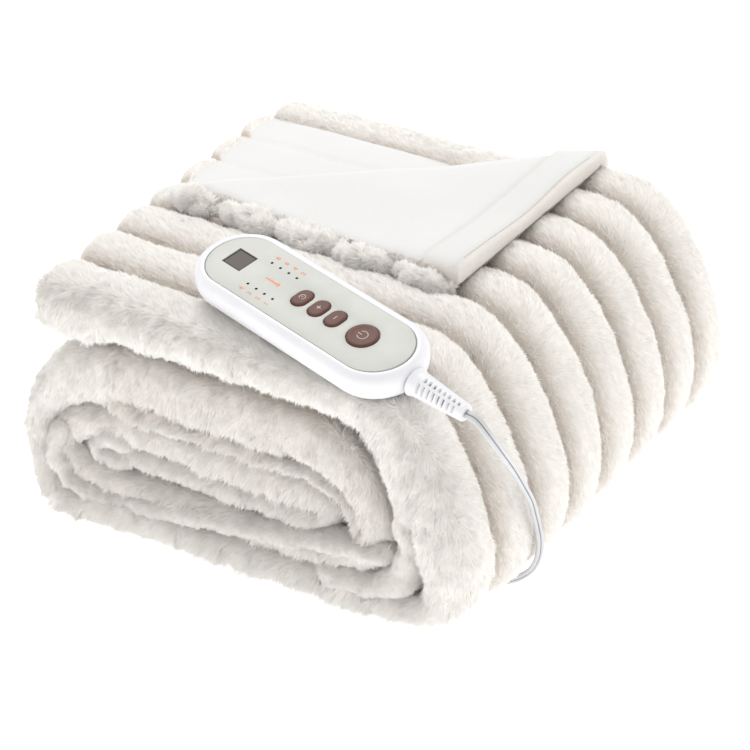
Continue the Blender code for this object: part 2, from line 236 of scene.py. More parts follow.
def plushFinish():
    plush = furLooks["plush"]
    made = Finish("plushReverse", plush, 0.9, Sheen_Weight=0.35, Sheen_Roughness=0.5, Specular_IOR_Level=0.15)
    brushed = made.ramp(made.noise(16.0, 3.0, 0.55), 0.3, 0.72)
    cloth = made.between(brushed, tinted(plush, furLooks["plushPatch"]), plush)
    # deep paints shade along the hem's line and over the hem band, and darkens the line of stitches
    made.give("Base Color", made.between(made.attribute("deep"), cloth, tinted(plush, furLooks["line"])))
    made.bump(made.noise(1500.0, 2.0, 0.6) * 0.6 + made.noise(260.0, 3.0, 0.6), 0.35, 0.0007)
    return made.material


finishes = {
    "fur": furFinish(),
    "skin": skinFinish(),
    "plush": plushFinish(),
}


# ---------- the roll
roll = {
    "ribs": 8, "pitch": 39.7, "frontRound": 13.0, "roundness": 0.55, "ply": 7.0,
    "step": 3.6, "hiddenStep": 6.0, "smoothing": 5.0,
    # name, x from, x to, z, outer, inner, ribs outside, ribs inside, recess of the front at each end
    "runs": (
        ("top", 12, 228, 140.5, 10.0, 13.0, 8.0, 1.5, 0.0, 0.0),
        ("underneath", 244, 50, 10.5, 8.0, 9.5, 4.6, 1.0, 11.0, -2.0),
        ("second", 54, 186, 97.5, 19.0, 17.0, 1.5, 1.5, 8.0, 10.0),
        ("fifth", 188, 60, 30.6, 7.0, 7.0, 0.7, 0.7, 12.0, 7.0),
        ("third", 60, 188, 67.0, 8.4, 8.0, 0.7, 0.7, 11.0, 14.0),
        ("core", 187, 50, 48.3, 7.2, 7.2, 0.7, 0.7, 15.0, 13.0),
    ),
    # name, bulge, slump, fullness, then the same sizes at its widest
    "turns": (
        ("rightOuter", 44.0, 1.40, 0.85, 10.0, 14.5, 10.0, 1.5, -6.0),
        ("leftOuter", 54.0, 0.92, 0.74, 8.5, 8.0, 2.0, 1.0, 3.0),
        ("rightInner", 43.0, 1.20, 1.00, 11.0, 11.0, 1.5, 1.0, 12.0),
        ("leftInner", 43.0, 1.00, 1.00, 7.5, 7.0, 0.7, 0.7, 7.0),
        ("coreRight", 15.0, 1.00, 1.00, 7.0, 2.5, 0.7, 0.7, 17.0),
    ),
    # how far the cloth lies under its pile on the outer face, the inner face and the inner layers
    "inset": 2.0, "innerInset": 1.6, "snug": -1.4,
    "innerRound": 9.0, "crease": 7.0, "thinEnd": 9.0,
    "looseEnd": 60.0, "puff": 5.0, "slant": 33.0, "slantFrom": 30.0, "slantTo": 255.0, "droop": 8.0,
    # y of the first points, round the front fold
    "noses": (0.35, 1.3, 2.9, 5.0, 7.6, 10.6, 14.0, 18.0), "nosesEnd": 20.0,
    # gaps of the stations at each end of the strip
    "endGaps": (0.0, 0.7, 1.8, 3.4, 5.6, 8.4),
    "perRib": 11, "perRibInside": 4,
    "backEdge": (
        (0.0, 0.93), (0.0, 0.58), (13.0, 0.50), (1.0, 0.42), (1.0, 0.07),
        (15.0, 0.00), (2.0, -0.07), (0.0, -0.35), (0.0, -0.80),
    ),
}
corner = {
    "crest": 158.5, "foldLeft": (11.0, 134.0), "foldRight": (210.0, 317.0), "tip": (219.0, 118.0),
    "softness": 10.0, "underHem": 272.0, "bandCrest": 150.0, "bandMiddle": 298.0, "bandCurve": 0.02,
    "ribs": 5, "ply": 9.0, "sunk": 2.0, "puff": 7.0,
}
control = {
    "at": (178.0, 31.0, 175.0), "turn": (12.0, 5.5, -13.0), "housing": (160.0, 55.0, 18.0),
    "bedGap": 1.0, "bedMargin": 16.0,
}
stripWidth = roll["ribs"] * roll["pitch"]
controlFrame = Matrix.Translation(control["at"]) @ Euler(
    [math.radians(v) for v in control["turn"]]).to_matrix().to_4x4()


def soften(value):
    value = np.clip(value, 0.0, 1.0)
    return value * value * (3.0 - 2.0 * value)


def rounded(gap, radius):
    # the height of a quarter circle, from 0 at its edge to 1 at the radius and beyond
    return np.sqrt(1.0 - (1.0 - np.clip(gap / radius, 0.0, 1.0)) ** 2)


def bell(offset, spread):
    return np.exp(-(offset / spread) ** 2)


def unit(vectors):
    return vectors / np.maximum(np.linalg.norm(vectors, axis=-1, keepdims=True), 1e-9)


def lengthAlong(points):
    return np.concatenate([[0.0], np.cumsum(np.linalg.norm(np.diff(points, axis=0), axis=1))])


def turns(count):
    return np.arange(count) * 2.0 * math.pi / count


class Waves:
    # a smooth wandering number for each point of space, about -1 to 1, the same in every run
    def __init__(self, seed, length, count=24):
        source = np.random.default_rng(seed)
        ways = unit(source.normal(size=(count, 3)))
        self.ways = ways * (2.0 * math.pi / (length * source.uniform(0.6, 1.7, (count, 1))))
        self.phases = source.uniform(0.0, 2.0 * math.pi, count)

    def at(self, points):
        flat = np.asarray(points, np.float32).reshape(-1, 3)
        total = np.zeros(len(flat), np.float32)
        for way, phase in zip(self.ways.astype(np.float32), self.phases):
            total += np.sin(flat @ way + np.float32(phase))
        return (total / math.sqrt(len(self.ways) / 2.0) * 0.6).reshape(np.shape(points)[:-1])


def woundPath():
    # columns: x, z, outer, inner, ribs outside, ribs inside, recess and place, which is 0 on the first run,
    # 0.5 on the turn after it, 1 on the next run and so on
    rows = []
    for index, (_, xFrom, xTo, z, *sizes, frontTo) in enumerate(roll["runs"]):
        for share in np.linspace(0.0, 1.0, 40):
            front = sizes[-1] + (frontTo - sizes[-1]) * share
            rows.append([xFrom + (xTo - xFrom) * share, z, *sizes[:-1], front, index + 0.0])
        if index == len(roll["turns"]):
            break
        _, bulge, slump, fullness, *apex = roll["turns"][index]
        _, nextX, _, nextZ, *nextSizes, _ = roll["runs"][index + 1]
        sizes = [*sizes[:-1], frontTo]
        side = 1.0 if xTo > xFrom else -1.0
        for share in np.linspace(0.0, 1.0, 61)[1:-1]:
            reach = bulge * math.sin(math.pi * share ** slump) ** fullness
            x = xTo + (nextX - xTo) * share + side * reach
            height = nextZ + (z - nextZ) * (1.0 + math.cos(math.pi * share)) / 2.0
            first, second = (sizes, apex) if share < 0.5 else (apex, nextSizes)
            part = float(soften(share * 2.0 % 1.0))
            rows.append([x, height, *[a + (b - a) * part for a, b in zip(first, second)], index + 0.5])
    rows = np.array(rows)
    run = lengthAlong(rows[:, :2])
    fine = np.arange(0.0, run[-1], 1.0)
    rows = np.stack([np.interp(fine, run, column) for column in rows.T], 1)
    spread = np.arange(-15, 16)
    weights = np.exp(-(spread / roll["smoothing"]) ** 2 / 2.0)
    weights /= weights.sum()
    ends = [2 * rows[0] - rows[15:0:-1], 2 * rows[-1] - rows[-2:-17:-1]]
    long = np.concatenate([ends[0], rows, ends[1]])
    smoothed = np.stack([np.convolve(column, weights, "valid") for column in long.T], 1)
    smoothed[:, 7] = rows[:, 7]
    # closer steps as far as the end of the first turn
    shown = int(np.argmax(rows[:, 7] > 0.9))
    picks = list(roll["endGaps"]) + list(np.arange(12.0, shown, roll["step"]))
    picks += list(np.arange(shown, fine[-1] - 9.0, roll["hiddenStep"]))
    picks += [fine[-1] - gap for gap in reversed(roll["endGaps"])]
    rows = np.stack([np.interp(picks, fine, column) for column in smoothed.T], 1)
    rows[:, 7] = np.round(rows[:, 7] * 2.0) / 2.0
    return np.array(picks), rows, fine[-1]


def stripRing():
    # y, face (1 outer, 0 edge, -1 inner) and level of each point round the folded strip
    def steps(perRib):
        evenly = np.arange(1, roll["ribs"] * perRib) * roll["pitch"] / perRib
        return list(roll["noses"]) + [y for y in evenly if y > roll["nosesEnd"]] + [stripWidth]

    hem = corner["underHem"]
    outer = sorted([y for y in steps(roll["perRib"]) if abs(y - hem) > 1.2] + [hem - 0.5, hem + 0.6])
    inner = steps(roll["perRibInside"])
    ring = [(y, 1, 1.0) for y in outer]
    ring += [(stripWidth - depth, 0, level) for depth, level in roll["backEdge"]]
    ring += [(y, -1, -1.0) for y in reversed(inner)]
    ring += [(0.0, 0, 0.0)]
    return np.array(ring)


def behindFold(x, y):
    left, right = np.array(corner["foldLeft"]), np.array(corner["foldRight"])
    along = (right - left) / np.linalg.norm(right - left)
    return along[0] * (y - left[1]) - along[1] * (x - left[0])


def bedHeight(x, y):
    # the highest that the cloth may stand under the hand control
    length, width, thickness = control["housing"]
    under = np.array(controlFrame @ Vector((0.0, 0.0, -thickness - control["bedGap"])))
    out = np.array(controlFrame.to_3x3().col[2])
    plane = under[2] - (out[0] * (x - under[0]) + out[1] * (y - under[1])) / out[2]
    back = np.array(controlFrame.inverted())
    localX = back[0, 0] * x + back[0, 1] * y + back[0, 2] * plane + back[0, 3]
    localY = back[1, 0] * x + back[1, 1] * y + back[1, 2] * plane + back[1, 3]
    pastEnd = np.maximum(np.abs(localX) - (length - width) / 2.0, 0.0)
    outside = np.hypot(pastEnd, localY) - width / 2.0
    return plane + np.maximum(0.0, outside - control["bedMargin"])


def relieved(x, y, z):
    share = soften(behindFold(x, y) / corner["softness"] + 0.5)
    band = corner["bandCrest"] - corner["bandCurve"] * (y - corner["bandMiddle"]) ** 2
    bare = np.where(y < corner["underHem"], corner["crest"] - roll["ply"], band)
    z = z + (np.minimum(bare, z) - z) * share
    return np.minimum(z, bedHeight(x, y))


def creaseDepth(rows, ring):
    # the line along the front of the second layer and round its turn, where its two plies meet, from 0 to 1
    x, z, place = rows[:, 0], rows[:, 1], rows[:, 7]
    along = soften((x - 36.0) / 30.0) * (place == 2.0) + soften((z - 38.0) / 22.0) * (place == 2.5)
    across = bell(ring[:, 0] - 1.3, 0.9) * (ring[:, 1] < 0)
    return along[:, None] * across[None, :]


def rollPoints():
    # every point of the strip's surface, as [station, ring point, xyz]
    stops, rows, total = woundPath()
    ring = stripRing()
    x, z, outer, inner, ribOut, ribIn, recess, place = [column[:, None] for column in rows.T]
    y, face, level = [column[None, :] for column in ring.T]
    ahead = unit(np.gradient(rows[:, :2], axis=0))
    outX, outZ = -ahead[:, 1][:, None], ahead[:, 0][:, None]
    rib = np.abs(np.sin(math.pi * y / roll["pitch"])) ** roll["roundness"]
    isInner = (place > 1.6) | ((face < 0) & (place > 0.4))
    rounding = rounded(y, np.where(isInner, roll["innerRound"], roll["frontRound"]))
    fromEnd = np.minimum(stops, total - stops)[:, None]
    thin = rounded(fromEnd, roll["thinEnd"]) * 0.96 + 0.04
    inset = np.where(place <= 1.6, roll["inset"], roll["snug"])
    inner = inner - np.where(place <= 0.5, roll["innerInset"], roll["snug"])
    reach = np.where(face > 0, (outer + ribOut * rib - inset) * rounding, 0.0)
    reach = np.where(face < 0, -(inner + ribIn * rib) * rounding, reach)
    reach = np.where(face == 0, level * np.where(level > 0, outer - inset, inner), reach)
    px, pz = x + outX * reach * thin, z + outZ * reach * thin
    py = y + recess * (1.0 - y / stripWidth) ** 3 + inset * 0.8 * (1.0 - np.minimum(y / 30.0, 1.0)) ** 2
    py = py + creaseDepth(rows, ring) * roll["crease"]
    top = (place <= 0.5) & (x < 262.0)
    lowered = relieved(px, py, pz + inset) - inset
    pz = np.where(top & (face > 0), np.minimum(lowered, pz), pz)
    edgeTop, edgeBase = z + (outer - inset) * thin, z - inner * thin
    edgeNew = relieved(px, np.full_like(px, stripWidth), edgeTop + inset) - inset
    scaled = edgeBase + (pz - edgeBase) * (np.minimum(edgeNew, edgeTop) - edgeBase) / (edgeTop - edgeBase)
    pz = np.where(top & (face == 0) & (y > 100.0), scaled, pz)
    loose = np.where(place <= 0.5, 1.0 - soften((x - roll["runs"][0][1]) / roll["looseEnd"]), 0.0)
    slant = np.clip((y - roll["slantFrom"]) / (roll["slantTo"] - roll["slantFrom"]), 0.0, 1.0)
    px = px - loose * (roll["slant"] * slant + roll["puff"] * rib)
    pz = np.where(face < 0, pz - loose * roll["droop"], pz)
    points = np.stack(np.broadcast_arrays(px, py, np.maximum(pz, 0.0)), 2)
    return points, rows, ring, stops


def rolledGrid(points, zone=None, deep=None):
    # a grid rolled into a tube, welded along its seam, its two ends filled;
    # faces inside the zone get the second material, and deep becomes an attribute
    along, around = points.shape[0] - 1, points.shape[1]
    shape = bmesh.new()
    bmesh.ops.create_grid(shape, x_segments=around, y_segments=along, size=1.0)
    spots = toFrame(points)
    layer = shape.verts.layers.float.new("deep") if deep is not None else None
    rows = [[None] * (around + 1) for _ in range(along + 1)]
    for vertex in shape.verts:
        ring = round((vertex.co.x + 1.0) / 2.0 * around)
        step = round((vertex.co.y + 1.0) / 2.0 * along)
        if layer:
            vertex[layer] = float(deep[step, ring % around])
        vertex.co = spots[step, ring % around]
        rows[step][ring] = vertex
    bmesh.ops.weld_verts(shape, targetmap={row[around]: row[0] for row in rows})
    for row in (rows[0], rows[-1]):
        end = shape.faces.new(row[:around])
        shape.normal_update()
        bmesh.ops.triangulate(shape, faces=[end])
    bmesh.ops.recalc_face_normals(shape, faces=shape.faces)
    if zone is not None:
        inside = {rows[step][ring] for step, ring in zip(*np.nonzero(zone))}
        for face in shape.faces:
            face.material_index = int(all(vertex in inside for vertex in face.verts))
    return shape


def linked(name, mesh):
    piece = bpy.data.objects.new(name, mesh)
    bpy.context.scene.collection.objects.link(piece)
    return piece


def pieceFrom(shape, name, *materials):
    mesh = bpy.data.meshes.new(name)
    shape.to_mesh(mesh)
    shape.free()
    mesh.shade_smooth()
    for material in materials:
        mesh.materials.append(material)
    return linked(name, mesh)


def gridNormals(points):
    # outward direction at each point of a rolled grid; its ring runs front to back on the outer face
    alongStrip = np.gradient(points, axis=0)
    aroundRing = (np.roll(points, -1, 1) - np.roll(points, 1, 1)) / 2.0
    return -unit(np.cross(aroundRing, alongStrip))


# the lower corners of the front give way: the right one lifts off the floor and the left one slumps onto it
give = {
    "lift": 0.13, "liftFrom": 235.0, "liftTop": (78.0, 35.0), "liftBack": (75.0, 45.0),
    "slumpSide": (62.0, 40.0), "slumpTop": (46.0, 30.0), "slumpBack": (60.0, 40.0),
    "forward": 4.0, "flatter": 0.3,
}
# seed, wave length, height and how much higher at the front
lumps = {"wide": (3, 34.0, 0.55, 0.7), "fine": (4, 13.0, 0.3, 0.35), "plush": (5, 60.0, 0.8)}
# the widths, in y, and the strengths of the painted shade in the grooves, along the crease, on the inner
# layers' fronts and under the top layer
seams = {
    "near": 13.0, "nearFade": 1.3, "nearShade": 0.95, "far": 2.5, "from": 24.0, "toBack": 8.0,
    "crease": 0.7, "inner": 0.14, "shadeUnderTop": 0.55, "shadeUnderTopTo": 26.0,
}


def settled(points):
    # the points of the roll, moved as the table above says
    x, y, z = (points[:, :, axis].copy() for axis in range(3))

    def before(value, name):
        end, fade = give[name]
        return soften((end - value) / fade)

    lift = give["lift"] * np.maximum(x - give["liftFrom"], 0.0)
    points[:, :, 2] += lift * before(z, "liftTop") * before(y, "liftBack")
    slump = before(x, "slumpSide") * before(z, "slumpTop") * before(y, "slumpBack")
    points[:, :, 1] -= give["forward"] * slump
    points[:, :, 2] -= give["flatter"] * np.maximum(z, 0.0) * slump
    return points


def paintedSeamShade():
    # how much painted shade each point gets: on the flanks of the grooves, in the crease, on the inner
    # layers' fronts and, in patches, on the second layer under the top one
    pastGroove = np.mod(ringY, roll["pitch"])
    near = np.clip(1.0 - pastGroove / seams["near"], 0.0, 1.0) ** seams["nearFade"] * seams["nearShade"]
    paintedShade = np.maximum(near, np.clip(1.0 - (roll["pitch"] - pastGroove) / seams["far"], 0.0, 1.0))
    paintedShade *= (place < 1.1) & (ringY > seams["from"]) & (ringY < stripWidth - seams["toBack"]) & onOuter
    paintedShade = np.where(plushZone, 0.0, np.maximum(paintedShade, seams["crease"] * creaseDepth(rollRows, rollRing)))
    paintedShade = paintedShade + seams["inner"] * frontShare * (place > 1.7)
    shadeUnderTop = (place > 1.9) & (place < 2.6) & onOuter & (ringY < seams["shadeUnderTopTo"])
    patchy = soften(Waves(80, 70.0).at(rollSpots) * 0.9 + 0.75)
    return paintedShade + shadeUnderTop * soften((ringY - 2.5) / 7.0) * patchy * seams["shadeUnderTop"]


def lumpHeight():
    height = 0.0
    for name in ("wide", "fine"):
        seed, length, base, front = lumps[name]
        height = height + Waves(seed, length).at(rollSpots) * (base + front * frontShare)
    seed, length, base = lumps["plush"]
    height = np.where(plushZone, Waves(seed, length).at(rollSpots) * base, height)
    height *= np.clip((rollSpots[:, :, 2] - 0.5) / 6.0, 0.0, 1.0)
    return height * np.clip(np.minimum(rollStops, rollStops[-1] - rollStops) / 12.0, 0.0, 1.0)[:, None]


rollSpots, rollRows, rollRing, rollStops = rollPoints()
rollNormals = gridNormals(rollSpots)
place = rollRows[:, 7][:, None]
ringY = np.broadcast_to(rollRing[:, 0][None, :], rollSpots.shape[:2])
onOuter = (rollRing[:, 1] > 0)[None, :]
rollRib = np.where(onOuter, np.abs(np.sin(math.pi * ringY / roll["pitch"])), 1.0)
frontShare = soften((20.0 - ringY) / 14.0)
foldGap = behindFold(rollSpots[:, :, 0], rollSpots[:, :, 1])
plushZone = (place < 0.4) & onOuter & (foldGap > -6.0)
plushZone &= (rollSpots[:, :, 1] < corner["underHem"] + 0.1) & (rollStops > 7.0)[:, None]
rollSpots = settled(rollSpots + rollNormals * lumpHeight()[:, :, None])
rollShade = paintedSeamShade()
print("roll laid out:", rollSpots.shape)


def makeRoll():
    shape = rolledGrid(rollSpots, plushZone, rollShade)
    return pieceFrom(shape, "rolledCloth", finishes["skin"], finishes["plush"])


rolledCloth = makeRoll()
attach(rolledCloth, "throw")
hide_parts("blanket")
print("roll made")


# ---------- the inner plies, which show between the fronts of the layers
plies = {
    # the last value darkens the plies all over as painted shade, since they sit back between the layers
    "around": 28, "step": 2.0, "rounds": 12, "endRound": 10.0, "wander": 1.1, "paintedShade": 0.15,
    "paths": (
        # name, half thickness, half depth, y at each end, corners of its path as x, z
        ("lowerPly", 5.6, 8.0, (8.5, 17.0), (
            (22, 62), (14, 44), (20, 27), (36, 21), (54, 21), (77, 24),
            (106, 28), (137, 32), (168, 36), (205, 41), (246, 50),
        )),
        ("rightPly", 8.0, 10.0, (16.0, 19.0), (
            (238, 114), (249, 98), (254, 78), (255, 58), (252, 36), (236, 23), (196, 22),
        )),
        ("corePly", 6.5, 7.0, (17.0, 17.0), ((68, 57), (50, 60), (41, 54), (40, 47), (50, 44), (66, 45))),
        ("upperPly", 3.6, 6.0, (17.0, 17.0), (
            (60, 78), (84, 79), (120, 81), (160, 82), (190, 82), (208, 74),
        )),
    ),
}


def plyPoints(thick, deep, depth, path):
    path = np.array(path, float)
    run = lengthAlong(path)
    fine = np.arange(0.0, run[-1] + plies["step"], plies["step"])
    line = np.stack([np.interp(fine, run, column) for column in path.T], 1)
    for _ in range(plies["rounds"]):
        line[1:-1] = (line[:-2] + 2.0 * line[1:-1] + line[2:]) / 4.0
    ahead = unit(np.gradient(line, axis=0))
    thin = (0.04 + 0.96 * rounded(np.minimum(fine, fine[-1] - fine), plies["endRound"]))[:, None]
    turn = turns(plies["around"])[None, :]
    points = np.empty((len(line), plies["around"], 3))
    points[:, :, 0] = line[:, :1] - ahead[:, 1:] * np.cos(turn) * thick * thin
    points[:, :, 2] = line[:, 1:] + ahead[:, :1] * np.cos(turn) * thick * thin
    points[:, :, 1] = np.linspace(*depth, len(line))[:, None] - np.sin(turn) * deep * thin
    normals = -gridNormals(points)
    points += normals * (Waves(31, 22.0).at(points) * plies["wander"] * thin)[:, :, None]
    return points, -gridNormals(points)


plySpots = {name: plyPoints(*values) for name, *values in plies["paths"]}


def makePlies():
    for name, (points, _) in plySpots.items():
        # the plies are painted darker all over, as shade between the layers
        shape = rolledGrid(points, deep=np.full(points.shape[:2], plies["paintedShade"]))
        piece = pieceFrom(shape, name, finishes["skin"])
        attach(piece, "throw")


makePlies()
print("plies made")


# ---------- the turned-back corner
flap = {
    "rows": 96, "hemBand": 26.0, "hemRise": 3.0, "stitchDip": 1.5, "piping": 4.2,
    "edgeRound": 7.0, "foldRound": 18.0, "foldShift": 4.0, "furEdge": 1.5, "wave": 1.4,
    # how much painted shade darkens the line in the hem and the hem band, and how much darker the line of
    # stitches is
    "hemLineShade": 0.30, "stitchLine": 0.45, "bandShade": 0.08,
}
puffs = {
    "along": 150, "around": 36, "out": 4.6, "down": 1.0, "pinch": 1.2, "full": 7.8, "flat": 0.84,
    "wander": 1.7, "ripple": 0.6, "tail": 0.35,
}


def cornerPoints():
    left, right, tip = (np.array(corner[name]) for name in ("foldLeft", "foldRight", "tip"))
    length = np.linalg.norm(tip - left)
    nearTip, further = np.linspace(0.0, 1.0, 7) ** 2 * 8.0, np.linspace(8.0, 206.0, flap["rows"] - 6)[1:]
    endGap = np.concatenate([nearTip, further])
    share = (1.0 - endGap[::-1] / length)[:, None]
    reach = np.concatenate([np.linspace(0.0, 1.0, 9) ** 2 * 0.1, np.linspace(0.1, 1.0, 40)[1:]])
    toFold = np.concatenate([reach, reach[::-1]])[None, :]
    upper = (np.arange(2 * len(reach)) < len(reach))[None, :]
    hem = left + (tip - left) * share[:, :, None]
    fold = left + (right - left) * share[:, :, None]
    flat = hem + (fold - hem) * toFold[:, :, None]
    span = np.linalg.norm(right - tip) * share
    fromHem, fromFold = toFold * span, (1.0 - toFold) * span
    fromEnd = (1.0 - share) * length
    rib = np.abs(np.sin(math.pi * corner["ribs"] * share)) ** 0.6
    near = np.clip(1.0 - fromHem / 30.0, 0.0, 1.0) ** 2
    puff = corner["puff"] * rib * near * 0.35
    half = corner["ply"] / 2.0
    centre = corner["crest"] - corner["sunk"] + half
    full = half * rounded(fromHem, flap["edgeRound"]) * (0.35 + 0.65 * rounded(fromEnd, 4.0))
    inBand = soften((flap["hemBand"] - fromEnd) / 3.0 + 0.5)
    stitch = bell(fromEnd - flap["hemBand"], 1.3) + 0.7 * bell(fromEnd - flap["piping"], 1.0)
    top = centre + full + flap["hemRise"] * inBand - flap["stitchDip"] * stitch + 0.15 * puff
    base = centre - full - 0.9 * puff * rounded(fromHem, 10.0)
    fall = 1.0 - rounded(fromFold, flap["foldRound"])
    top = top - (corner["ply"] + roll["ply"] - 5.0) * fall
    base = base - (roll["ply"] + 1.5) * soften(1.0 - fromFold / 14.0)
    shift = flap["foldShift"] * share * soften(1.0 - fromFold / 20.0)
    points = np.empty((*flat.shape[:2], 3))
    points[:, :, 0] = flat[:, :, 0] - shift
    points[:, :, 1] = flat[:, :, 1] + shift - puff
    points[:, :, 2] = np.where(upper, np.maximum(top, base + 0.2), base)
    calm = rounded(fromHem, 12.0) * rounded(fromFold, 20.0) * upper
    points[:, :, 2] += Waves(9, 75.0).at(points) * flap["wave"] * calm
    plush = upper & (fromHem > flap["furEdge"]) & (fromEnd > 1.2)
    return points, plush, np.broadcast_to(fromEnd, fromHem.shape)


flapSpots, flapPlush, flapFromEnd = cornerPoints()
flapNormals = -gridNormals(flapSpots)


def makeFlap():
    # painted shade along the hem's inner line and over the hem band, and a darker line along the stitches
    line = flap["hemLineShade"] * bell(flapFromEnd - flap["hemBand"] - 0.8, 1.8)
    line = line + flap["stitchLine"] * bell(flapFromEnd - flap["piping"], 1.1)
    line = line + flap["bandShade"] * soften((flap["hemBand"] - flapFromEnd) / 3.0 + 0.5)
    shape = rolledGrid(flapSpots, flapPlush, line * flapPlush)
    return pieceFrom(shape, "turnedCorner", finishes["skin"], finishes["plush"])


turnedCorner = makeFlap()
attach(turnedCorner, "throw")


def puffPoints():
    # the ribs of the fur side, gathered into a row of puffs below the hem of the corner
    left, tip = np.array(corner["foldLeft"]), np.array(corner["tip"])
    length = np.linalg.norm(tip - left)
    run = np.linspace(4.0, length - 1.0, puffs["along"])
    share = run / length
    ahead = (tip - left) / length
    outward = np.array([ahead[1], -ahead[0]])
    phase = np.abs(np.sin(math.pi * corner["ribs"] * share))
    radius = puffs["pinch"] + (puffs["full"] - puffs["pinch"]) * phase ** 0.62
    radius = radius * np.sqrt(np.clip(np.minimum(run - 3.9, length - 0.9 - run) / 4.0, 0.02, 1.0))
    radius = radius * (1.0 - puffs["tail"] * soften((share - 0.55) / 0.4))
    turn = turns(puffs["around"])
    centre = left + ahead * run[:, None] + outward * (puffs["out"] * (0.35 + 0.65 * phase ** 0.7))[:, None]
    points = np.empty((len(run), len(turn), 3))
    points[:, :, :2] = centre[:, None, :] + outward * (np.cos(turn)[None, :] * radius[:, None])[:, :, None]
    points[:, :, 2] = np.sin(turn)[None, :] * radius[:, None] * puffs["flat"]
    points[:, :, 2] += corner["crest"] - puffs["down"]
    bumps = Waves(21, 14.0).at(points) * puffs["wander"] + Waves(22, 6.0).at(points) * puffs["ripple"]
    points = points + gridNormals(points) * (bumps * np.minimum(radius / 4.0, 1.0)[:, None])[:, :, None]
    # the pinches between the puffs are painted darker, as shade
    pinch = np.clip(0.34 - phase, 0.0, 1.0) * 1.8 - 0.12
    return points, gridNormals(points), np.broadcast_to(pinch[:, None], points.shape[:2])


puffSpots, puffNormals, puffShade = puffPoints()


def makePuffs():
    piece = pieceFrom(rolledGrid(puffSpots, deep=puffShade), "hemPuffs", finishes["skin"])
    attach(piece, "throw")


def stitchFinish():
    made = Finish("hemThread", (0.62, 0.585, 0.54), 0.7)
    patch = made.ramp(made.noise(300.0), 0.3, 0.7)
    made.give("Base Color", made.between(patch, (0.58, 0.545, 0.50), (0.66, 0.625, 0.58)))
    made.bump(made.noise(3000.0, 2.0), 0.3, 0.0002)
    return made.material


stitches = {"length": 2.5, "pitch": 3.6, "radius": 0.30, "rise": 0.12}


def makeStitches():
    # a line of short stitches in the groove by the edge of the corner
    step = int(np.argmin(np.abs(flapFromEnd[:, 0] - flap["piping"])))
    track = flapSpots[step, 6:flapSpots.shape[1] // 2 - 4]
    run = lengthAlong(track)
    shape = bmesh.new()
    for start in np.arange(2.0, run[-1] - 4.0, stitches["pitch"]):
        span = (start, start + stitches["length"])
        ends = np.stack([np.interp(span, run, column) for column in track.T], 1)
        ahead = Vector(ends[1] - ends[0])
        made = bmesh.ops.create_cone(shape, cap_ends=True, segments=8, radius1=stitches["radius"],
                                     radius2=stitches["radius"], depth=ahead.length)
        place = Matrix.Translation(Vector(ends.mean(0)) + Vector((0.0, 0.0, stitches["rise"])))
        turn = ahead.to_track_quat("Z", "Y").to_matrix().to_4x4()
        bmesh.ops.transform(shape, verts=made["verts"], matrix=place @ turn)
    for vertex in shape.verts:
        vertex.co = toFrame(vertex.co)
    piece = pieceFrom(shape, "hemStitches", stitchFinish())
    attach(piece, "throw")


makePuffs()
makeStitches()
print("corner made")


# ---------- pile
pile = {
    "seed": 11, "cell": 2.8, "frontCell": 4.5, "gather": 0.30,
    "length": 4.4, "frontLength": 5.2, "lean": 74.0, "frontLean": 66.0, "width": 0.72,
    # the small pieces: length, cell, lean on the corner and on the plies, and how far the puffs' fur turns up
    "otherLength": 4.2, "otherCell": 3.0, "cornerLean": 60.0, "plyLean": 66.0, "puffUp": (0.0, 0.0, 0.6),
    # the way that the blades lie on the fronts, the loose end, the back, the hem and the end of the hem
    "front": (-0.25, 0.0, -1.0), "loose": (0.0, 0.6, -0.8), "back": (0.1, 0.35, -1.0),
    "hem": (-0.3, 0.4, -0.6), "hemEnd": (0.3, 0.5, -0.8),
    # how much the way, lean, length and root wander, from blade to blade and from tuft to tuft
    "wayScatter": 0.16, "wayWide": 0.30, "wayFine": 0.22, "leanScatter": 7.0, "leanTufts": 10.0,
    "lengthScatter": 0.18, "lengthTufts": 0.16, "rootTufts": 0.35,
    # how far the blades turn away from the viewer, and the bare radius round the corner's far end
    "fromViewer": 1.7, "bare": 14.0,
    "shags": (
        # patches of longer tufts on the front: x, z, half width, half height
        (134, 92, 30, 10), (170, 68, 42, 12), (138, 20, 40, 14), (222, 16, 40, 14),
    ),
    "combed": ("topPile", "turnPile", "puffPile"), "comb": 7.0, "combedWander": 0.5,
    "blades": {
        "topPile": 184000, "turnPile": 190000, "frontPile": 190000, "sidePile": 100000,
        "cornerPile": 34000, "puffPile": 36000,
        "lowerPlyPile": 36000, "rightPlyPile": 22000, "corePlyPile": 9000, "upperPlyPile": 12000,
    },
    "skyWays": (
        (0, 0, 1), (1, 0, .4), (-1, 0, .4), (0, 1, .4), (0, -1, .4), (.6, -.6, .7), (-.6, -.6, .7),
        (1, -1, 0), (-1, -1, 0), (1, 1, 0), (-1, 1, 0), (0, -1, 0), (1, 0, 0), (-1, 0, 0), (0, 1, 0),
    ),
    "openSky": 5.0,
}
eye = np.array(cameraAt) / mm + middle


def blockers():
    verts, faces = [], []
    for spots in (rollSpots, flapSpots, puffSpots, *(points for points, _ in plySpots.values())):
        steps, around = spots.shape[:2]
        start = len(verts)
        verts.extend(spots.reshape(-1, 3).tolist())
        for step in range(steps - 1):
            first = start + step * around
            for ring in range(around):
                nextRing = (ring + 1) % around
                face = (ring, nextRing, around + nextRing, around + ring)
                faces.append([first + index for index in face])
    return BVHTree.FromPolygons(verts, faces)


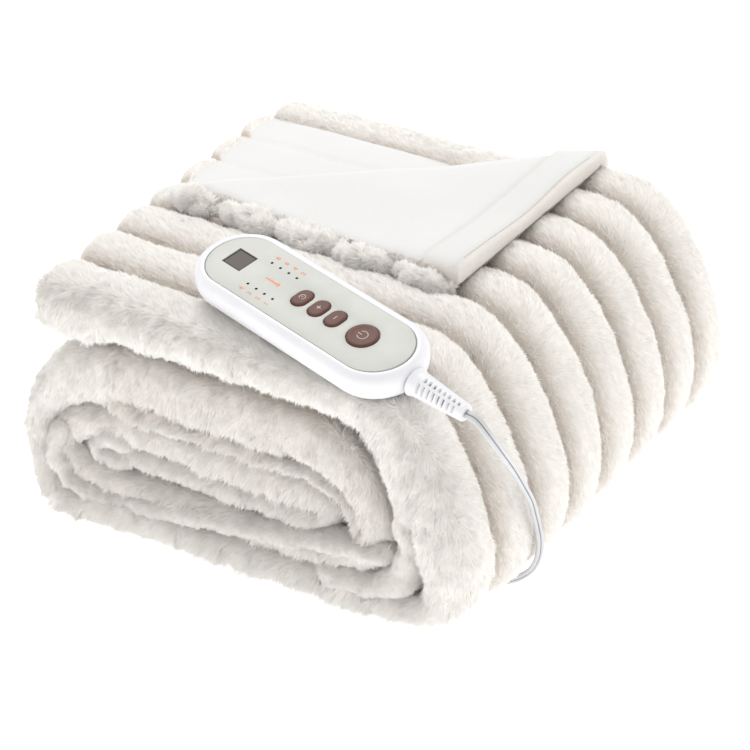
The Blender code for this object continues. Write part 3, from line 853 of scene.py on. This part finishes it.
def openness(tree, spots, normals):
    # the share of the sky that each spot sees, and whether the camera sees it
    ways = [Vector(way).normalized() for way in pile["skyWays"]]
    viewer = Vector(eye)
    seen = np.zeros(len(spots))
    shown = np.zeros(len(spots))
    for index, (spot, normal) in enumerate(zip(spots.tolist(), normals.tolist())):
        normal = Vector(normal)
        start = Vector(spot) + normal * 1.2
        toEye = (viewer - start).normalized()
        if toEye.dot(normal) > -0.1 and tree.ray_cast(start, toEye, 700.0)[0] is None:
            shown[index] = 1.0
        facing = (way for way in ways if way.dot(normal) > 0.05)
        seen[index] = sum(tree.ray_cast(start, way, 400.0)[0] is None for way in facing)
    return np.minimum(seen / pile["openSky"], 1.0), shown


def quadsOf(values):
    # the four corners of every quad of a rolled grid
    nextRing = np.roll(values, -1, 1)
    four = np.stack([values[:-1], nextRing[:-1], nextRing[1:], values[1:]], 2)
    return four.reshape(-1, 4, *values.shape[2:])


def patches(tree, spots, normals):
    # the quads of a grid with their normals, and the centre, area, openness and visibility of each
    quads, facings = quadsOf(spots), quadsOf(normals)
    area = np.linalg.norm(np.cross(quads[:, 2] - quads[:, 0], quads[:, 3] - quads[:, 1]), axis=1) / 2.0
    centre = quads.mean(1)
    return quads, facings, centre, area, *openness(tree, centre, unit(facings.mean(1)))


def flattened(vectors, normal):
    # what is left of the vectors without their part along the normal
    return vectors - normal * np.sum(vectors * normal, 1)[:, None]


def wandering(spots, seed, length, count):
    return np.stack([Waves(seed + axis, length, count).at(spots) for axis in range(3)], 1)


def tuftCentres(root, cell):
    # the hub of the jittered cell that each root stands in
    index = np.floor(root / cell).astype(np.int64)
    salt = (index[:, 0] * 73856093) ^ (index[:, 1] * 19349663) ^ (index[:, 2] * 83492791)
    jitter = np.stack([((salt * prime) % 1009) / 1009.0 for prime in (7, 131, 521)], 1)
    return (index + 0.25 + 0.5 * jitter) * cell


def bladeMesh(name, corners, facing, deep, grain):
    total = len(facing)
    mesh = bpy.data.meshes.new(name)
    mesh.vertices.add(total * 3)
    mesh.vertices.foreach_set("co", toFrame(corners).astype(np.float32).ravel())
    mesh.loops.add(total * 3)
    mesh.loops.foreach_set("vertex_index", np.arange(total * 3, dtype=np.int32))
    mesh.polygons.add(total)
    mesh.polygons.foreach_set("loop_start", np.arange(0, total * 3, 3, dtype=np.int32))
    mesh.update(calc_edges=True)
    tip = np.tile([0.0, 0.0, 1.0], total)
    for label, values in (("tip", tip), ("grain", np.repeat(grain, 3)), ("deep", deep.ravel())):
        mesh.attributes.new(label, "FLOAT", "POINT").data.foreach_set("value", values.astype(np.float32))
    mesh.normals_split_custom_set_from_vertices(np.repeat(facing, 3, 0).astype(np.float32))
    mesh.materials.append(finishes["fur"])
    return mesh


def blades(name, odds, source, spots, normals, ways, lengths, leans, cells, deeps):
    # thin tapered triangles, gathered into tufts: quads are drawn by their odds, then a place within each
    total = pile["blades"][name]
    picks = source.choice(len(odds), total, p=odds / odds.sum())
    spread = source.random((total, 2))
    u, v = spread[:, 0:1], spread[:, 1:2]

    def blend(values):
        four = values[picks]
        return (four[:, 0] * (1 - u) + four[:, 1] * u) * (1 - v) + (four[:, 3] * (1 - u) + four[:, 2] * u) * v

    root, normal, way = blend(spots), unit(blend(normals)), blend(ways)
    length, lean, cell, deep = (blend(values[:, :, None]) for values in (lengths, leans, cells, deeps))
    isCombed = name in pile["combed"]
    calm = pile["combedWander"] if isCombed else 1.0
    wander = wandering(root, 40, 18.0, 14) * pile["wayWide"] + wandering(root, 50, 5.0, 12) * pile["wayFine"]
    way = way + wander * calm + source.normal(0.0, pile["wayScatter"] * calm, (total, 3))
    way = flattened(way, normal)
    # the pile lies away from the viewer
    toEye = unit(flattened(eye - root, normal))
    way -= toEye * (np.maximum(np.sum(way * toEye, 1), 0.0) * pile["fromViewer"])[:, None]
    way = unit(way)
    lean = lean + pile["comb"] * isCombed + source.normal(0.0, pile["leanScatter"], (total, 1))
    lean = np.radians(lean + Waves(60, 9.0, 12).at(root)[:, None] * pile["leanTufts"] * calm)
    stretch = source.normal(1.0, pile["lengthScatter"], (total, 1))
    stretch = stretch + Waves(61, 7.0, 12).at(root)[:, None] * pile["lengthTufts"]
    length = length * np.clip(stretch, 0.4, 1.6)
    out = way * np.sin(lean) + normal * np.cos(lean)
    root = root + normal * (Waves(62, 6.5, 14).at(root) * pile["rootTufts"])[:, None]
    tip = root + out * length + flattened(tuftCentres(root, cell) - root, normal) * pile["gather"]
    tip[:, 2] = np.maximum(tip[:, 2], 0.3)
    half = pile["width"] / 2.0 * source.uniform(0.7, 1.3, (total, 1))
    side = unit(np.cross(normal, out)) * half
    root = root - normal * 0.5
    corners = np.stack([root + side, root - side, tip], 1).reshape(-1, 3)
    # each blade carries the painted shade of its seam, less of it at the tip
    deep = np.clip(deep * source.uniform(0.45, 1.5, (total, 1)), 0.0, 1.0) * np.array([[1.0, 1.0, 0.55]])
    grain = np.clip(source.normal(0.6, 0.28, total) + Waves(63, 4.5, 12).at(root) * 0.3, 0.0, 1.0)
    facing = unit(normal * 0.85 + out * 0.2 + source.normal(0.0, 0.13, (total, 3)))
    piece = linked(name, bladeMesh(name, corners, facing, deep, grain))
    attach(piece, "throw")


def growRollPile(tree, source):
    front = soften((16.0 - ringY) / 12.0)
    back = soften((ringY - stripWidth + 9.0) / 8.0)
    loose = np.broadcast_to(soften((14.0 - rollStops) / 10.0)[:, None], ringY.shape)
    azimuth = math.radians(shot["azimuth"])
    away = -np.array([math.sin(azimuth), -math.cos(azimuth), 0.5])
    ahead = unit(np.gradient(rollSpots, axis=0))
    way = ahead * np.tanh(3.0 * (ahead @ away))[:, :, None] + away * 0.7
    for name, share in (("front", front), ("loose", loose), ("back", back)):
        way = way * (1.0 - share)[:, :, None] + np.array(pile[name]) * share[:, :, None]
    shaggy = np.maximum(front, back)
    tufted = soften(Waves(70, 60.0).at(rollSpots) * 0.8 - 0.3)
    for x, z, wide, high in pile["shags"]:
        tufted = tufted + bell(rollSpots[:, :, 0] - x, wide) * bell(rollSpots[:, :, 2] - z, high)
    length = pile["length"] + (pile["frontLength"] - pile["length"]) * shaggy
    length = length * (1.0 + 0.8 * np.minimum(tufted, 1.0) * shaggy)
    length = length * (0.5 + 0.5 * np.clip(rollRib / 0.5, 0.0, 1.0)) * (1.0 - 0.45 * loose)
    lean = pile["lean"] + (pile["frontLean"] - pile["lean"]) * shaggy
    cell = pile["cell"] + (pile["frontCell"] - pile["cell"]) * shaggy
    fields = [quadsOf(values) for values in (way, length, lean, cell, rollShade)]
    quads, facings, centre, area, seen, shown = patches(tree, rollSpots, rollNormals)
    weight = area * np.where(seen > 0.0, 0.18 + 0.5 * seen, 0.0)
    weight = np.where(shown > 0, area, weight * 0.5)
    weight *= ~quadsOf(plushZone).all(1) & (centre[:, 2] > 2.0)
    quadPlace = np.repeat(rollRows[:-1, 7], rollSpots.shape[1])
    outerFace = np.tile(rollRing[:, 1] > 0, rollSpots.shape[0] - 1)
    isFront = quadsOf(ringY).mean(1) < 19.0
    isTop = (quadPlace < 0.4) & outerFace & ~isFront
    isTurn = (quadPlace > 0.4) & (quadPlace < 0.6) & outerFace & ~isFront
    for name, chosen in (("topPile", isTop), ("turnPile", isTurn), ("frontPile", isFront),
                         ("sidePile", ~isTop & ~isTurn & ~isFront)):
        blades(name, weight * chosen, source, quads, facings, *fields)


def growOtherPile(tree, source):
    flapDeep, puffUp = np.zeros(flapSpots.shape[:2]), puffNormals + np.array(pile["puffUp"])
    pieces = [
        # name, spots, normals, deep, lean, way
        ("cornerPile", flapSpots, flapNormals, flapDeep, pile["cornerLean"], pile["hem"]),
        ("puffPile", puffSpots, puffUp, puffShade, pile["cornerLean"], pile["hem"]),
    ]
    for name, (points, normals) in plySpots.items():
        # the plies' fur gets the same painted shade
        paintedShade = np.full(points.shape[:2], plies["paintedShade"])
        pieces.append((name + "Pile", points, normals, paintedShade, pile["plyLean"], pile["front"]))
    for name, spots, normals, deep, lean, way in pieces:
        quads, facings, centre, area, seen, shown = patches(tree, spots, normals)
        odds = area * (seen * 0.4 + shown)
        ways = np.broadcast_to(way, (*quads.shape[:2], 3))
        if name == "cornerPile":
            # no fur on the plush, more of it at the hem's end and none by the far corner
            nearEnd = quadsOf(flapFromEnd) < 7.0
            ways = np.where(nearEnd[:, :, None], np.array(pile["hemEnd"]), ways)
            farEnd = np.linalg.norm(centre[:, :2] - np.array(corner["foldRight"]), axis=1) < pile["bare"]
            odds = odds * ~quadsOf(flapPlush).all(1) * np.where(nearEnd.any(1), 3.0 * shown, 1.0) * ~farEnd
        fixed = np.ones(quads.shape[:2])
        lengths, cells = fixed * pile["otherLength"], fixed * pile["otherCell"]
        blades(name, odds, source, quads, facings, ways, lengths, fixed * lean, cells, quadsOf(deep))


def growPile():
    tree = blockers()
    source = np.random.default_rng(pile["seed"])
    growRollPile(tree, source)
    growOtherPile(tree, source)


growPile()
print("pile grown")


# ---------- the hand control
def stadiumRing(length, width, inset, height, count, x=0.0):
    # one round-ended ring in the control's own frame: its x runs to the lead, its z out of the face
    turn = (np.arange(count) + 0.5) * 2.0 * math.pi / count
    way = np.stack([np.cos(turn), np.sin(turn)], 1)
    spots = np.zeros((count, 3))
    spots[:, :2] = way * max(min(length, width) / 2.0 - inset, 0.03) + (x, 0.0)
    spots[:, 0] += np.sign(way[:, 0]) * max(length - width, 0.0) / 2.0
    spots[:, 1] += np.sign(way[:, 1]) * max(width - length, 0.0) / 2.0
    spots[:, 2] = height
    return spots


def onControl(points):
    matrix = np.array(controlFrame)
    return np.asarray(points, float) @ matrix[:3, :3].T + matrix[:3, 3]


def stacked(length, width, levels, count, x=0.0):
    rings = [stadiumRing(length, width, inset, height, count, x) for inset, height in levels]
    return rolledGrid(onControl(rings))


def laidOnControl(shape):
    # from millimetres on the control to the frame
    for vertex in shape.verts:
        vertex.co = toFrame(onControl(vertex.co))
    bmesh.ops.recalc_face_normals(shape, faces=shape.faces)
    return shape


def shellFinish():
    made = Finish("whiteShell", (0.77, 0.77, 0.79), 0.36)
    cloud = made.ramp(made.noise(35.0), 0.3, 0.7)
    made.give("Base Color", made.between(cloud, (0.755, 0.755, 0.78), (0.785, 0.785, 0.81)))
    made.give("Roughness", made.ramp(made.noise(420.0, 2.0), 0.2, 0.8) * 0.08 + 0.33)
    made.bump(made.noise(2400.0, 2.0, 0.6), 0.06, 0.0002)
    return made.material


def plainFinish(name, colour, other, roughness, grain, strength, shine):
    made = Finish(name, colour, roughness, Specular_IOR_Level=shine)
    cloud = made.ramp(made.noise(70.0), 0.3, 0.7)
    made.give("Base Color", made.between(cloud, colour, other))
    made.give("Roughness", made.noise(500.0, 2.0) * 0.1 + (roughness - 0.05))
    made.bump(made.noise(grain, 2.0, 0.6), strength, 0.0002)
    return made.material


controlLooks = {
    "shell": shellFinish(),
}
for label, name, colour, other, roughness, grain, strength, shine in (
    ("face", "faceSheet", (0.555, 0.565, 0.522), (0.585, 0.595, 0.552), 0.48, 2600.0, 0.16, 0.3),
    ("button", "buttonRubber", (0.118, 0.052, 0.040), (0.135, 0.062, 0.048), 0.42, 2200.0, 0.12, 0.2),
    ("window", "displayGlass", (0.075, 0.063, 0.047), (0.084, 0.071, 0.053), 0.22, 900.0, 0.02, 0.12),
    # the display's border colour is painted shade
    ("shadedBorder", "displayShadedBorder", (0.030, 0.024, 0.018), (0.038, 0.031, 0.024), 0.4, 1800.0, 0.1, 0.1),
    ("black", "blackPrint", (0.010, 0.009, 0.008), (0.014, 0.012, 0.011), 0.6, 1800.0, 0.1, 0.1),
    ("peach", "peachPrint", (0.76, 0.33, 0.20), (0.80, 0.37, 0.23), 0.6, 1800.0, 0.1, 0.1),
    ("symbol", "lightPrint", (0.66, 0.54, 0.44), (0.70, 0.58, 0.48), 0.5, 1800.0, 0.1, 0.1),
    ("slot", "slotShade", (0.22, 0.22, 0.23), (0.26, 0.26, 0.27), 0.6, 1800.0, 0.1, 0.1),
    ("cord", "cordSheath", (0.55, 0.55, 0.565), (0.59, 0.59, 0.605), 0.42, 2400.0, 0.05, 0.3),
    # the cord's groove colour is painted shade between its two strands
    ("shadedGroove", "cordGrooveShade", (0.26, 0.26, 0.27), (0.30, 0.30, 0.31), 0.55, 2400.0, 0.05, 0.1),
):
    controlLooks[label] = plainFinish(name, colour, other, roughness, grain, strength, shine)

shell = {
    "around": 112,
    "levels": (
        # inset, height, from the middle of the underside over the rim to the floor of the recess
        (26.0, -18.0), (14.0, -18.0), (8.0, -17.85), (5.2, -17.2), (3.1, -15.9), (1.5, -13.9), (0.6, -11.6),
        (0.15, -9.2), (0.0, -7.0), (0.15, -5.2), (0.6, -3.6), (1.35, -2.2), (2.4, -1.1), (3.6, -0.35),
        (4.7, -0.05),
        (5.5, 0.0), (6.0, -0.1), (6.3, -0.25), (6.42, -0.45), (6.45, -0.8), (6.46, -1.55), (7.5, -1.6),
        (26.0, -1.6),
    ),
}
face = {
    "size": (145.5, 42.0), "inset": 0.05, "thick": 1.2, "clearance": 0.4, "edge": 0.12, "around": 112,
    "holeAround": 48,
    # the display's x, length and width, its gap, thickness and height, and the width and depth of its border,
    # which is painted dark as the shade of its recess
    "display": (-55.0, 14.5, 14.0), "displayGap": 0.3, "displayThick": 0.9, "displayAt": -0.75,
    "shadedBorder": 1.0, "borderStep": 0.15,
}
button = {
    "pills": (-4.4, 8.6, 21.4), "pill": (9.6, 13.6), "powerAt": 42.2, "power": (17.8, 17.8), "around": 64,
    "pillLevels": (
        (4.0, -4.6), (0.3, -4.6), (0.0, -4.2), (0.0, 0.10), (0.10, 0.45), (0.32, 0.72), (0.7, 0.90),
        (1.3, 1.0), (2.4, 1.0), (4.4, 0.97),
    ),
    "powerLevels": (
        (8.0, -4.6), (0.3, -4.6), (0.0, -4.2), (0.0, 0.05), (0.12, 0.45), (0.4, 0.75), (0.9, 0.94),
        (1.6, 1.0), (2.3, 0.93), (3.0, 0.80), (4.6, 0.70), (8.5, 0.66),
    ),
}
printed = {
    "upDots": ((-39.1, 9.45), (-32.3, 9.45), (-25.6, 9.45), (-19.1, 9.45)),
    "lowDots": ((-36.1, -10.8), (-29.4, -10.8), (-22.8, -10.8), (-16.3, -10.8)),
    "upDigits": "8642", "lowDigits": "4321", "digitOut": 4.9, "digit": 4.3, "bold": 0.09, "dot": 0.85,
    # the thermometer's top, its bulb and its y, then its widths
    "thermometer": (-32.2, -22.8, -1.0), "stem": 1.1, "thin": 0.35, "bulb": 1.35,
    # where the printed lines start, on the face and on the buttons
    "faceLevel": -0.01, "pillLevel": 0.985, "powerLevel": 0.655,
}


def makeShell():
    shape = stacked(*control["housing"][:2], shell["levels"], shell["around"])
    return pieceFrom(shape, "controlShell", controlLooks["shell"])


def ringEdges(shape, spots):
    verts = [shape.verts.new(spot) for spot in spots]
    for one, other in zip(verts, verts[1:] + verts[:1]):
        shape.edges.new((one, other))


def buttonTable():
    for index, x in enumerate(button["pills"]):
        yield "button_%d" % (index + 1), x, button["pill"], "pillLevels"
    yield "power_button", button["powerAt"], button["power"], "powerLevels"


def makeFace():
    shape = bmesh.new()
    ringEdges(shape, stadiumRing(*face["size"], face["inset"], 0.0, face["around"]))
    for _, x, size, _ in buttonTable():
        ringEdges(shape, stadiumRing(*size, -face["clearance"], 0.0, face["holeAround"], x))
    x, length, width = face["display"]
    sides = ((-1, -1), (1, -1), (1, 1), (-1, 1))
    ringEdges(shape, [(x + a * length / 2.0, b * width / 2.0, 0.0) for a, b in sides])
    bmesh.ops.triangle_fill(shape, use_beauty=True, edges=shape.edges[:])
    raised = bmesh.ops.extrude_face_region(shape, geom=shape.faces[:])
    lower = [part for part in raised["geom"] if isinstance(part, bmesh.types.BMVert)]
    bmesh.ops.translate(shape, verts=lower, vec=(0.0, 0.0, -face["thick"]))
    bmesh.ops.recalc_face_normals(shape, faces=shape.faces)
    rims = [edge for edge in shape.edges if edge.calc_face_angle(0.0) > 1.0
            and all(vertex.co.z > -0.5 for vertex in edge.verts)]
    bmesh.ops.bevel(shape, geom=rims, offset=face["edge"], segments=2, profile=0.5, affect="EDGES",
                    material=-1)
    piece = pieceFrom(laidOnControl(shape), "controlFace", controlLooks["face"])
    piece.data.set_sharp_from_angle(angle=0.6)
    return piece


def makeDisplay():
    x, length, width = face["display"]
    shape = bmesh.new()
    bmesh.ops.create_cube(shape, size=1.0)
    gap = face["displayGap"]
    bmesh.ops.scale(shape, verts=shape.verts, vec=(length - gap, width - gap, face["displayThick"]))
    bmesh.ops.translate(shape, verts=shape.verts, vec=(x, 0.0, face["displayAt"]))
    top = [one for one in shape.faces if one.calc_center_median().z > -0.4]
    bmesh.ops.inset_region(shape, faces=top, thickness=face["shadedBorder"], depth=0.0)
    bmesh.ops.inset_region(shape, faces=top, thickness=face["borderStep"], depth=-face["borderStep"])
    # the border and sides of the window are painted dark, as shade in its recess
    for one in shape.faces:
        one.material_index = int(one not in top)
    piece = pieceFrom(laidOnControl(shape), "displayWindow", controlLooks["window"], controlLooks["shadedBorder"])
    piece.data.shade_flat()
    return piece


def makeButtons():
    for name, x, size, levels in buttonTable():
        shape = stacked(*size, button[levels], button["around"], x)
        piece = pieceFrom(shape, name + "Cap", controlLooks["button"])
        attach(piece, name + "_body")
        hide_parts(name)


def thinLine(shape, spots, width, height, thick=0.06):
    # a flat printed line through spots, given on the face, as a thin solid
    spots = np.asarray(spots, float)
    ahead = unit(np.gradient(spots, axis=0))
    side = np.stack([-ahead[:, 1], ahead[:, 0]], 1) * width / 2.0
    rows = []
    for left, right in zip(spots - side, spots + side):
        ring = ((left, 0.0), (left, thick), (right, thick), (right, 0.0))
        rows.append([shape.verts.new((*end, height + up)) for end, up in ring])
    for one, other in zip(rows, rows[1:]):
        for k in range(4):
            shape.faces.new((one[k], one[(k + 1) % 4], other[(k + 1) % 4], other[k]))
    shape.faces.new(rows[0][::-1])
    shape.faces.new(rows[-1])


def arc(middle, radius, first, last, count=28):
    turn = np.radians(np.linspace(first, last, count))
    return np.stack([middle[0] + np.cos(turn) * radius, middle[1] + np.sin(turn) * radius], 1)


def dotSolid(shape, middle, radius):
    made = bmesh.ops.create_cone(shape, cap_ends=True, segments=20, radius1=radius, radius2=radius * 0.92,
                                 depth=0.08)
    bmesh.ops.translate(shape, verts=made["verts"], vec=(*middle, 0.02))


def addDigits(shape, spots, digits, shift):
    # a row of generic digits beside the dots, read from the power button's side
    for (x, y), digit in zip(spots, digits):
        words = bpy.data.curves.new("digit", "FONT")
        words.body, words.size, words.extrude, words.offset = digit, printed["digit"], 0.035, printed["bold"]
        words.align_x, words.align_y, words.resolution_u = "CENTER", "CENTER", 3
        holder = bpy.data.objects.new("digit", words)
        made = bpy.data.meshes.new_from_object(holder)
        place = Matrix.Translation((x, y + shift, 0.025))
        made.transform(place @ Matrix.Rotation(math.pi / 2.0, 4, "Z"))
        shape.from_mesh(made)
        bpy.data.objects.remove(holder)
        bpy.data.meshes.remove(made)


def printPiece(shape, name, look, body):
    piece = pieceFrom(laidOnControl(shape), name, controlLooks[look])
    piece.data.shade_flat()
    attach(piece, body)


def makePrints():
    black, peach = bmesh.new(), bmesh.new()
    for spot in printed["upDots"] + printed["lowDots"]:
        dotSolid(black, spot, printed["dot"])
    hot, bulb, y = printed["thermometer"]
    low, thin = printed["faceLevel"], printed["thin"]
    thinLine(peach, [(hot + 1.0, y), (bulb, y)], printed["stem"], low)
    thinLine(peach, arc((hot + 0.6, y), 0.55, 20, 340, 16), thin, low)
    dotSolid(peach, (bulb, y), printed["bulb"])
    for shift in (2.7, 4.2):
        thinLine(peach, [(hot + shift, y + 0.9), (hot + shift, y + 1.7)], thin, low)
    printPiece(black, "dotMarks", "black", "throw")
    addDigits(peach, printed["upDots"], printed["upDigits"], printed["digitOut"])
    addDigits(peach, printed["lowDots"], printed["lowDigits"], -printed["digitOut"])
    printPiece(peach, "peachMarks", "peach", "throw")


def makeSymbols():
    top, powerTop = printed["pillLevel"], printed["powerLevel"]
    ring, plus, minus, power = (bmesh.new() for _ in range(4))
    first, second, third = button["pills"]
    thinLine(ring, arc((first, 0.2), 1.75, -65, 245), 0.32, top)
    thinLine(ring, [(first, 0.2), (first - 1.1, 0.2)], 0.30, top)
    thinLine(ring, [(first - 0.1, 0.2), (first - 0.1, 1.0)], 0.30, top)
    thinLine(plus, [(second - 1.4, 0.0), (second + 1.4, 0.0)], 0.42, top)
    thinLine(plus, [(second, -1.4), (second, 1.4)], 0.42, top + 0.002)
    thinLine(minus, [(third, -1.4), (third, 1.4)], 0.45, top)
    x = button["powerAt"]
    thinLine(power, arc((x, 0.0), 2.9, -145, 145, 48), 0.36, powerTop)
    thinLine(power, [(x - 3.4, 0.0), (x - 0.6, 0.0)], 0.40, powerTop)
    for shape, name in ((ring, "button_1"), (plus, "button_2"), (minus, "button_3"), (power, "power_button")):
        printPiece(shape, name + "Symbol", "symbol", name + "_body")


for piece, node, slot in (
    (makeShell(), "housing", "white_plastic"),
    (makeFace(), "faceplate", "face_plastic"),
    (makeDisplay(), "display_window", "display_plastic"),
):
    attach(piece, "throw")
    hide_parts(node)
makeButtons()
makePrints()
makeSymbols()
print("control made")


# ---------- strain relief and lead
relief = {
    "from": 80.3, "to": 116.5, "z": -9.5, "radii": (7.6, 4.8), "around": 72, "step": 0.3,
    "collar": 3.2, "collarRise": 0.7, "slots": 8, "first": 7.2, "pitch": 3.35, "slotWidth": 1.3, "depth": 1.5,
    # how far each end is rounded off, and over what length
    "startRound": (0.5, 0.6), "endRound": (0.8, 0.9), "endRadius": 0.6, "flat": 0.96,
    # middle and half of the angle, and the shift in pitches, of each row of slots
    "rows": ((149.0, 25.0, 0.0), (98.0, 9.0, 0.5), (329.0, 25.0, 0.0), (278.0, 9.0, 0.5)),
}
lead = {
    "width": 4.8, "strand": 1.30, "apart": 1.10, "shadedGroove": 0.5, "step": 1.6, "around": 28,
    # the way out of the flat cord, and how far it runs straight from the strain relief
    "outward": (0.80, -0.50, 0.30), "gap": 0.3, "straight": 7.38,
    "route": (
        (304.6, 7.8, 144.8), (306.6, 14.6, 134.0), (306.8, 22.9, 123.2), (305.8, 32.5, 111.6),
        (305.0, 43.2, 97.2), (303.6, 55.5, 80.5), (302.8, 61.9, 68.2), (302.4, 66.8, 57.0),
        (301.8, 70.9, 46.5), (300.4, 73.8, 37.0), (297.6, 76.6, 27.6), (293.0, 78.8, 18.2),
        (286.2, 79.4, 10.5), (279.6, 79.4, 5.8), (274.5, 79.4, 3.8),
    ),
}


def makeRelief():
    start, end, around = relief["from"], relief["to"], relief["around"]
    xs = np.concatenate([[start, start], np.arange(start + 0.25, end - 0.9, relief["step"]),
                         [end - 0.75, end - 0.4, end - 0.12, end, end]])
    share = (xs - start) / (end - start)
    radius = relief["radii"][0] + (relief["radii"][1] - relief["radii"][0]) * share
    radius = radius + relief["collarRise"] * soften(1.0 - (xs - start) / relief["collar"])
    for gap, (drop, over) in ((end - xs, relief["endRound"]), (xs - start, relief["startRound"])):
        radius = radius - drop * (1.0 - rounded(gap, over))
    radius[0] = radius[-1] = relief["endRadius"]
    turn = turns(around)
    angle = np.degrees(turn)[None, :]
    cut = np.zeros((len(xs), around))
    for middle, half, shift in relief["rows"]:
        away = np.abs((angle - middle + 180.0) % 360.0 - 180.0)
        along = (xs[:, None] - start - relief["first"]) / relief["pitch"] - shift
        nearest = np.clip(np.round(along), 0, relief["slots"] - 1)
        off = np.abs(along - nearest) * relief["pitch"]
        inSlot = soften((relief["slotWidth"] / 2.0 - off) / 0.32 + 0.5) * soften((half - away) / 4.0 + 0.5)
        cut = np.maximum(cut, inSlot)
    cut *= ((xs > start + 1.0) & (xs < end - 1.2))[:, None]
    reach = radius[:, None] - relief["depth"] * cut
    spots = np.empty((len(xs), around, 3))
    spots[:, :, 0] = xs[:, None]
    spots[:, :, 1] = np.cos(turn)[None, :] * reach
    spots[:, :, 2] = relief["z"] + np.sin(turn)[None, :] * reach * relief["flat"]
    shape = rolledGrid(onControl(spots), cut > 0.5)
    return pieceFrom(shape, "reliefBoot", controlLooks["shell"], controlLooks["slot"])


def leadPath():
    tip = relief["to"] + lead["gap"]
    ends = onControl([(tip, 0.0, relief["z"]), (tip + lead["straight"], 0.0, relief["z"])])
    knots = [Vector(end) for end in ends] + [Vector(point) for point in lead["route"]]
    knots = [knots[0] * 2.0 - knots[1]] + knots + [knots[-1] * 2.0 - knots[-2]]
    points = []
    for before, here, after, later in zip(knots, knots[1:], knots[2:], knots[3:]):
        count = max(1, round((after - here).length / lead["step"]))
        for step in range(count):
            t = step / count
            points.append(0.5 * (2.0 * here + (after - before) * t
                                 + (2.0 * before - 5.0 * here + 4.0 * after - later) * t ** 2
                                 + (3.0 * here - before - 3.0 * after + later) * t ** 3))
    points.append(knots[-2])
    return np.array([list(point) for point in points])


def makeLead():
    path = leadPath()
    ahead = unit(np.gradient(path, axis=0))
    out = unit(flattened(np.array(lead["outward"]), ahead))
    side = np.cross(ahead, out)
    meet, half = math.acos(-lead["apart"] / lead["strand"]), lead["around"] // 2
    first = np.linspace(-meet, meet, half)
    second = np.linspace(math.pi - meet, math.pi + meet, half + 2)[1:-1]
    turn = np.concatenate([first, second])
    wide = np.cos(turn) * lead["strand"] + np.repeat([lead["apart"], -lead["apart"]], half)
    high = np.sin(turn) * lead["strand"]
    spots = path[:, None, :] + side[:, None, :] * wide[None, :, None] + out[:, None, :] * high[None, :, None]
    # the groove between the two strands is painted dark, as shade
    shadedGroove = np.broadcast_to(np.abs(wide) < lead["shadedGroove"], spots.shape[:2])
    piece = pieceFrom(rolledGrid(spots, shadedGroove), "leadCord", controlLooks["cord"], controlLooks["shadedGroove"])
    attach(piece, "throw")
    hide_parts("lead")


reliefBoot = makeRelief()
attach(reliefBoot, "throw")
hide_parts("strain_relief")
makeLead()
print("relief and lead made")


# ---------- floor
def makeFloor():
    shape = bmesh.new()
    bmesh.ops.create_grid(shape, x_segments=1, y_segments=1, size=6.0)
    paper = Finish("paperFloor", (0.9, 0.9, 0.9), 0.9, Emission_Color=(1.0, 1.0, 1.0, 1.0),
                   Emission_Strength=0.75)
    return pieceFrom(shape, "floor", paper.material)


makeFloor()
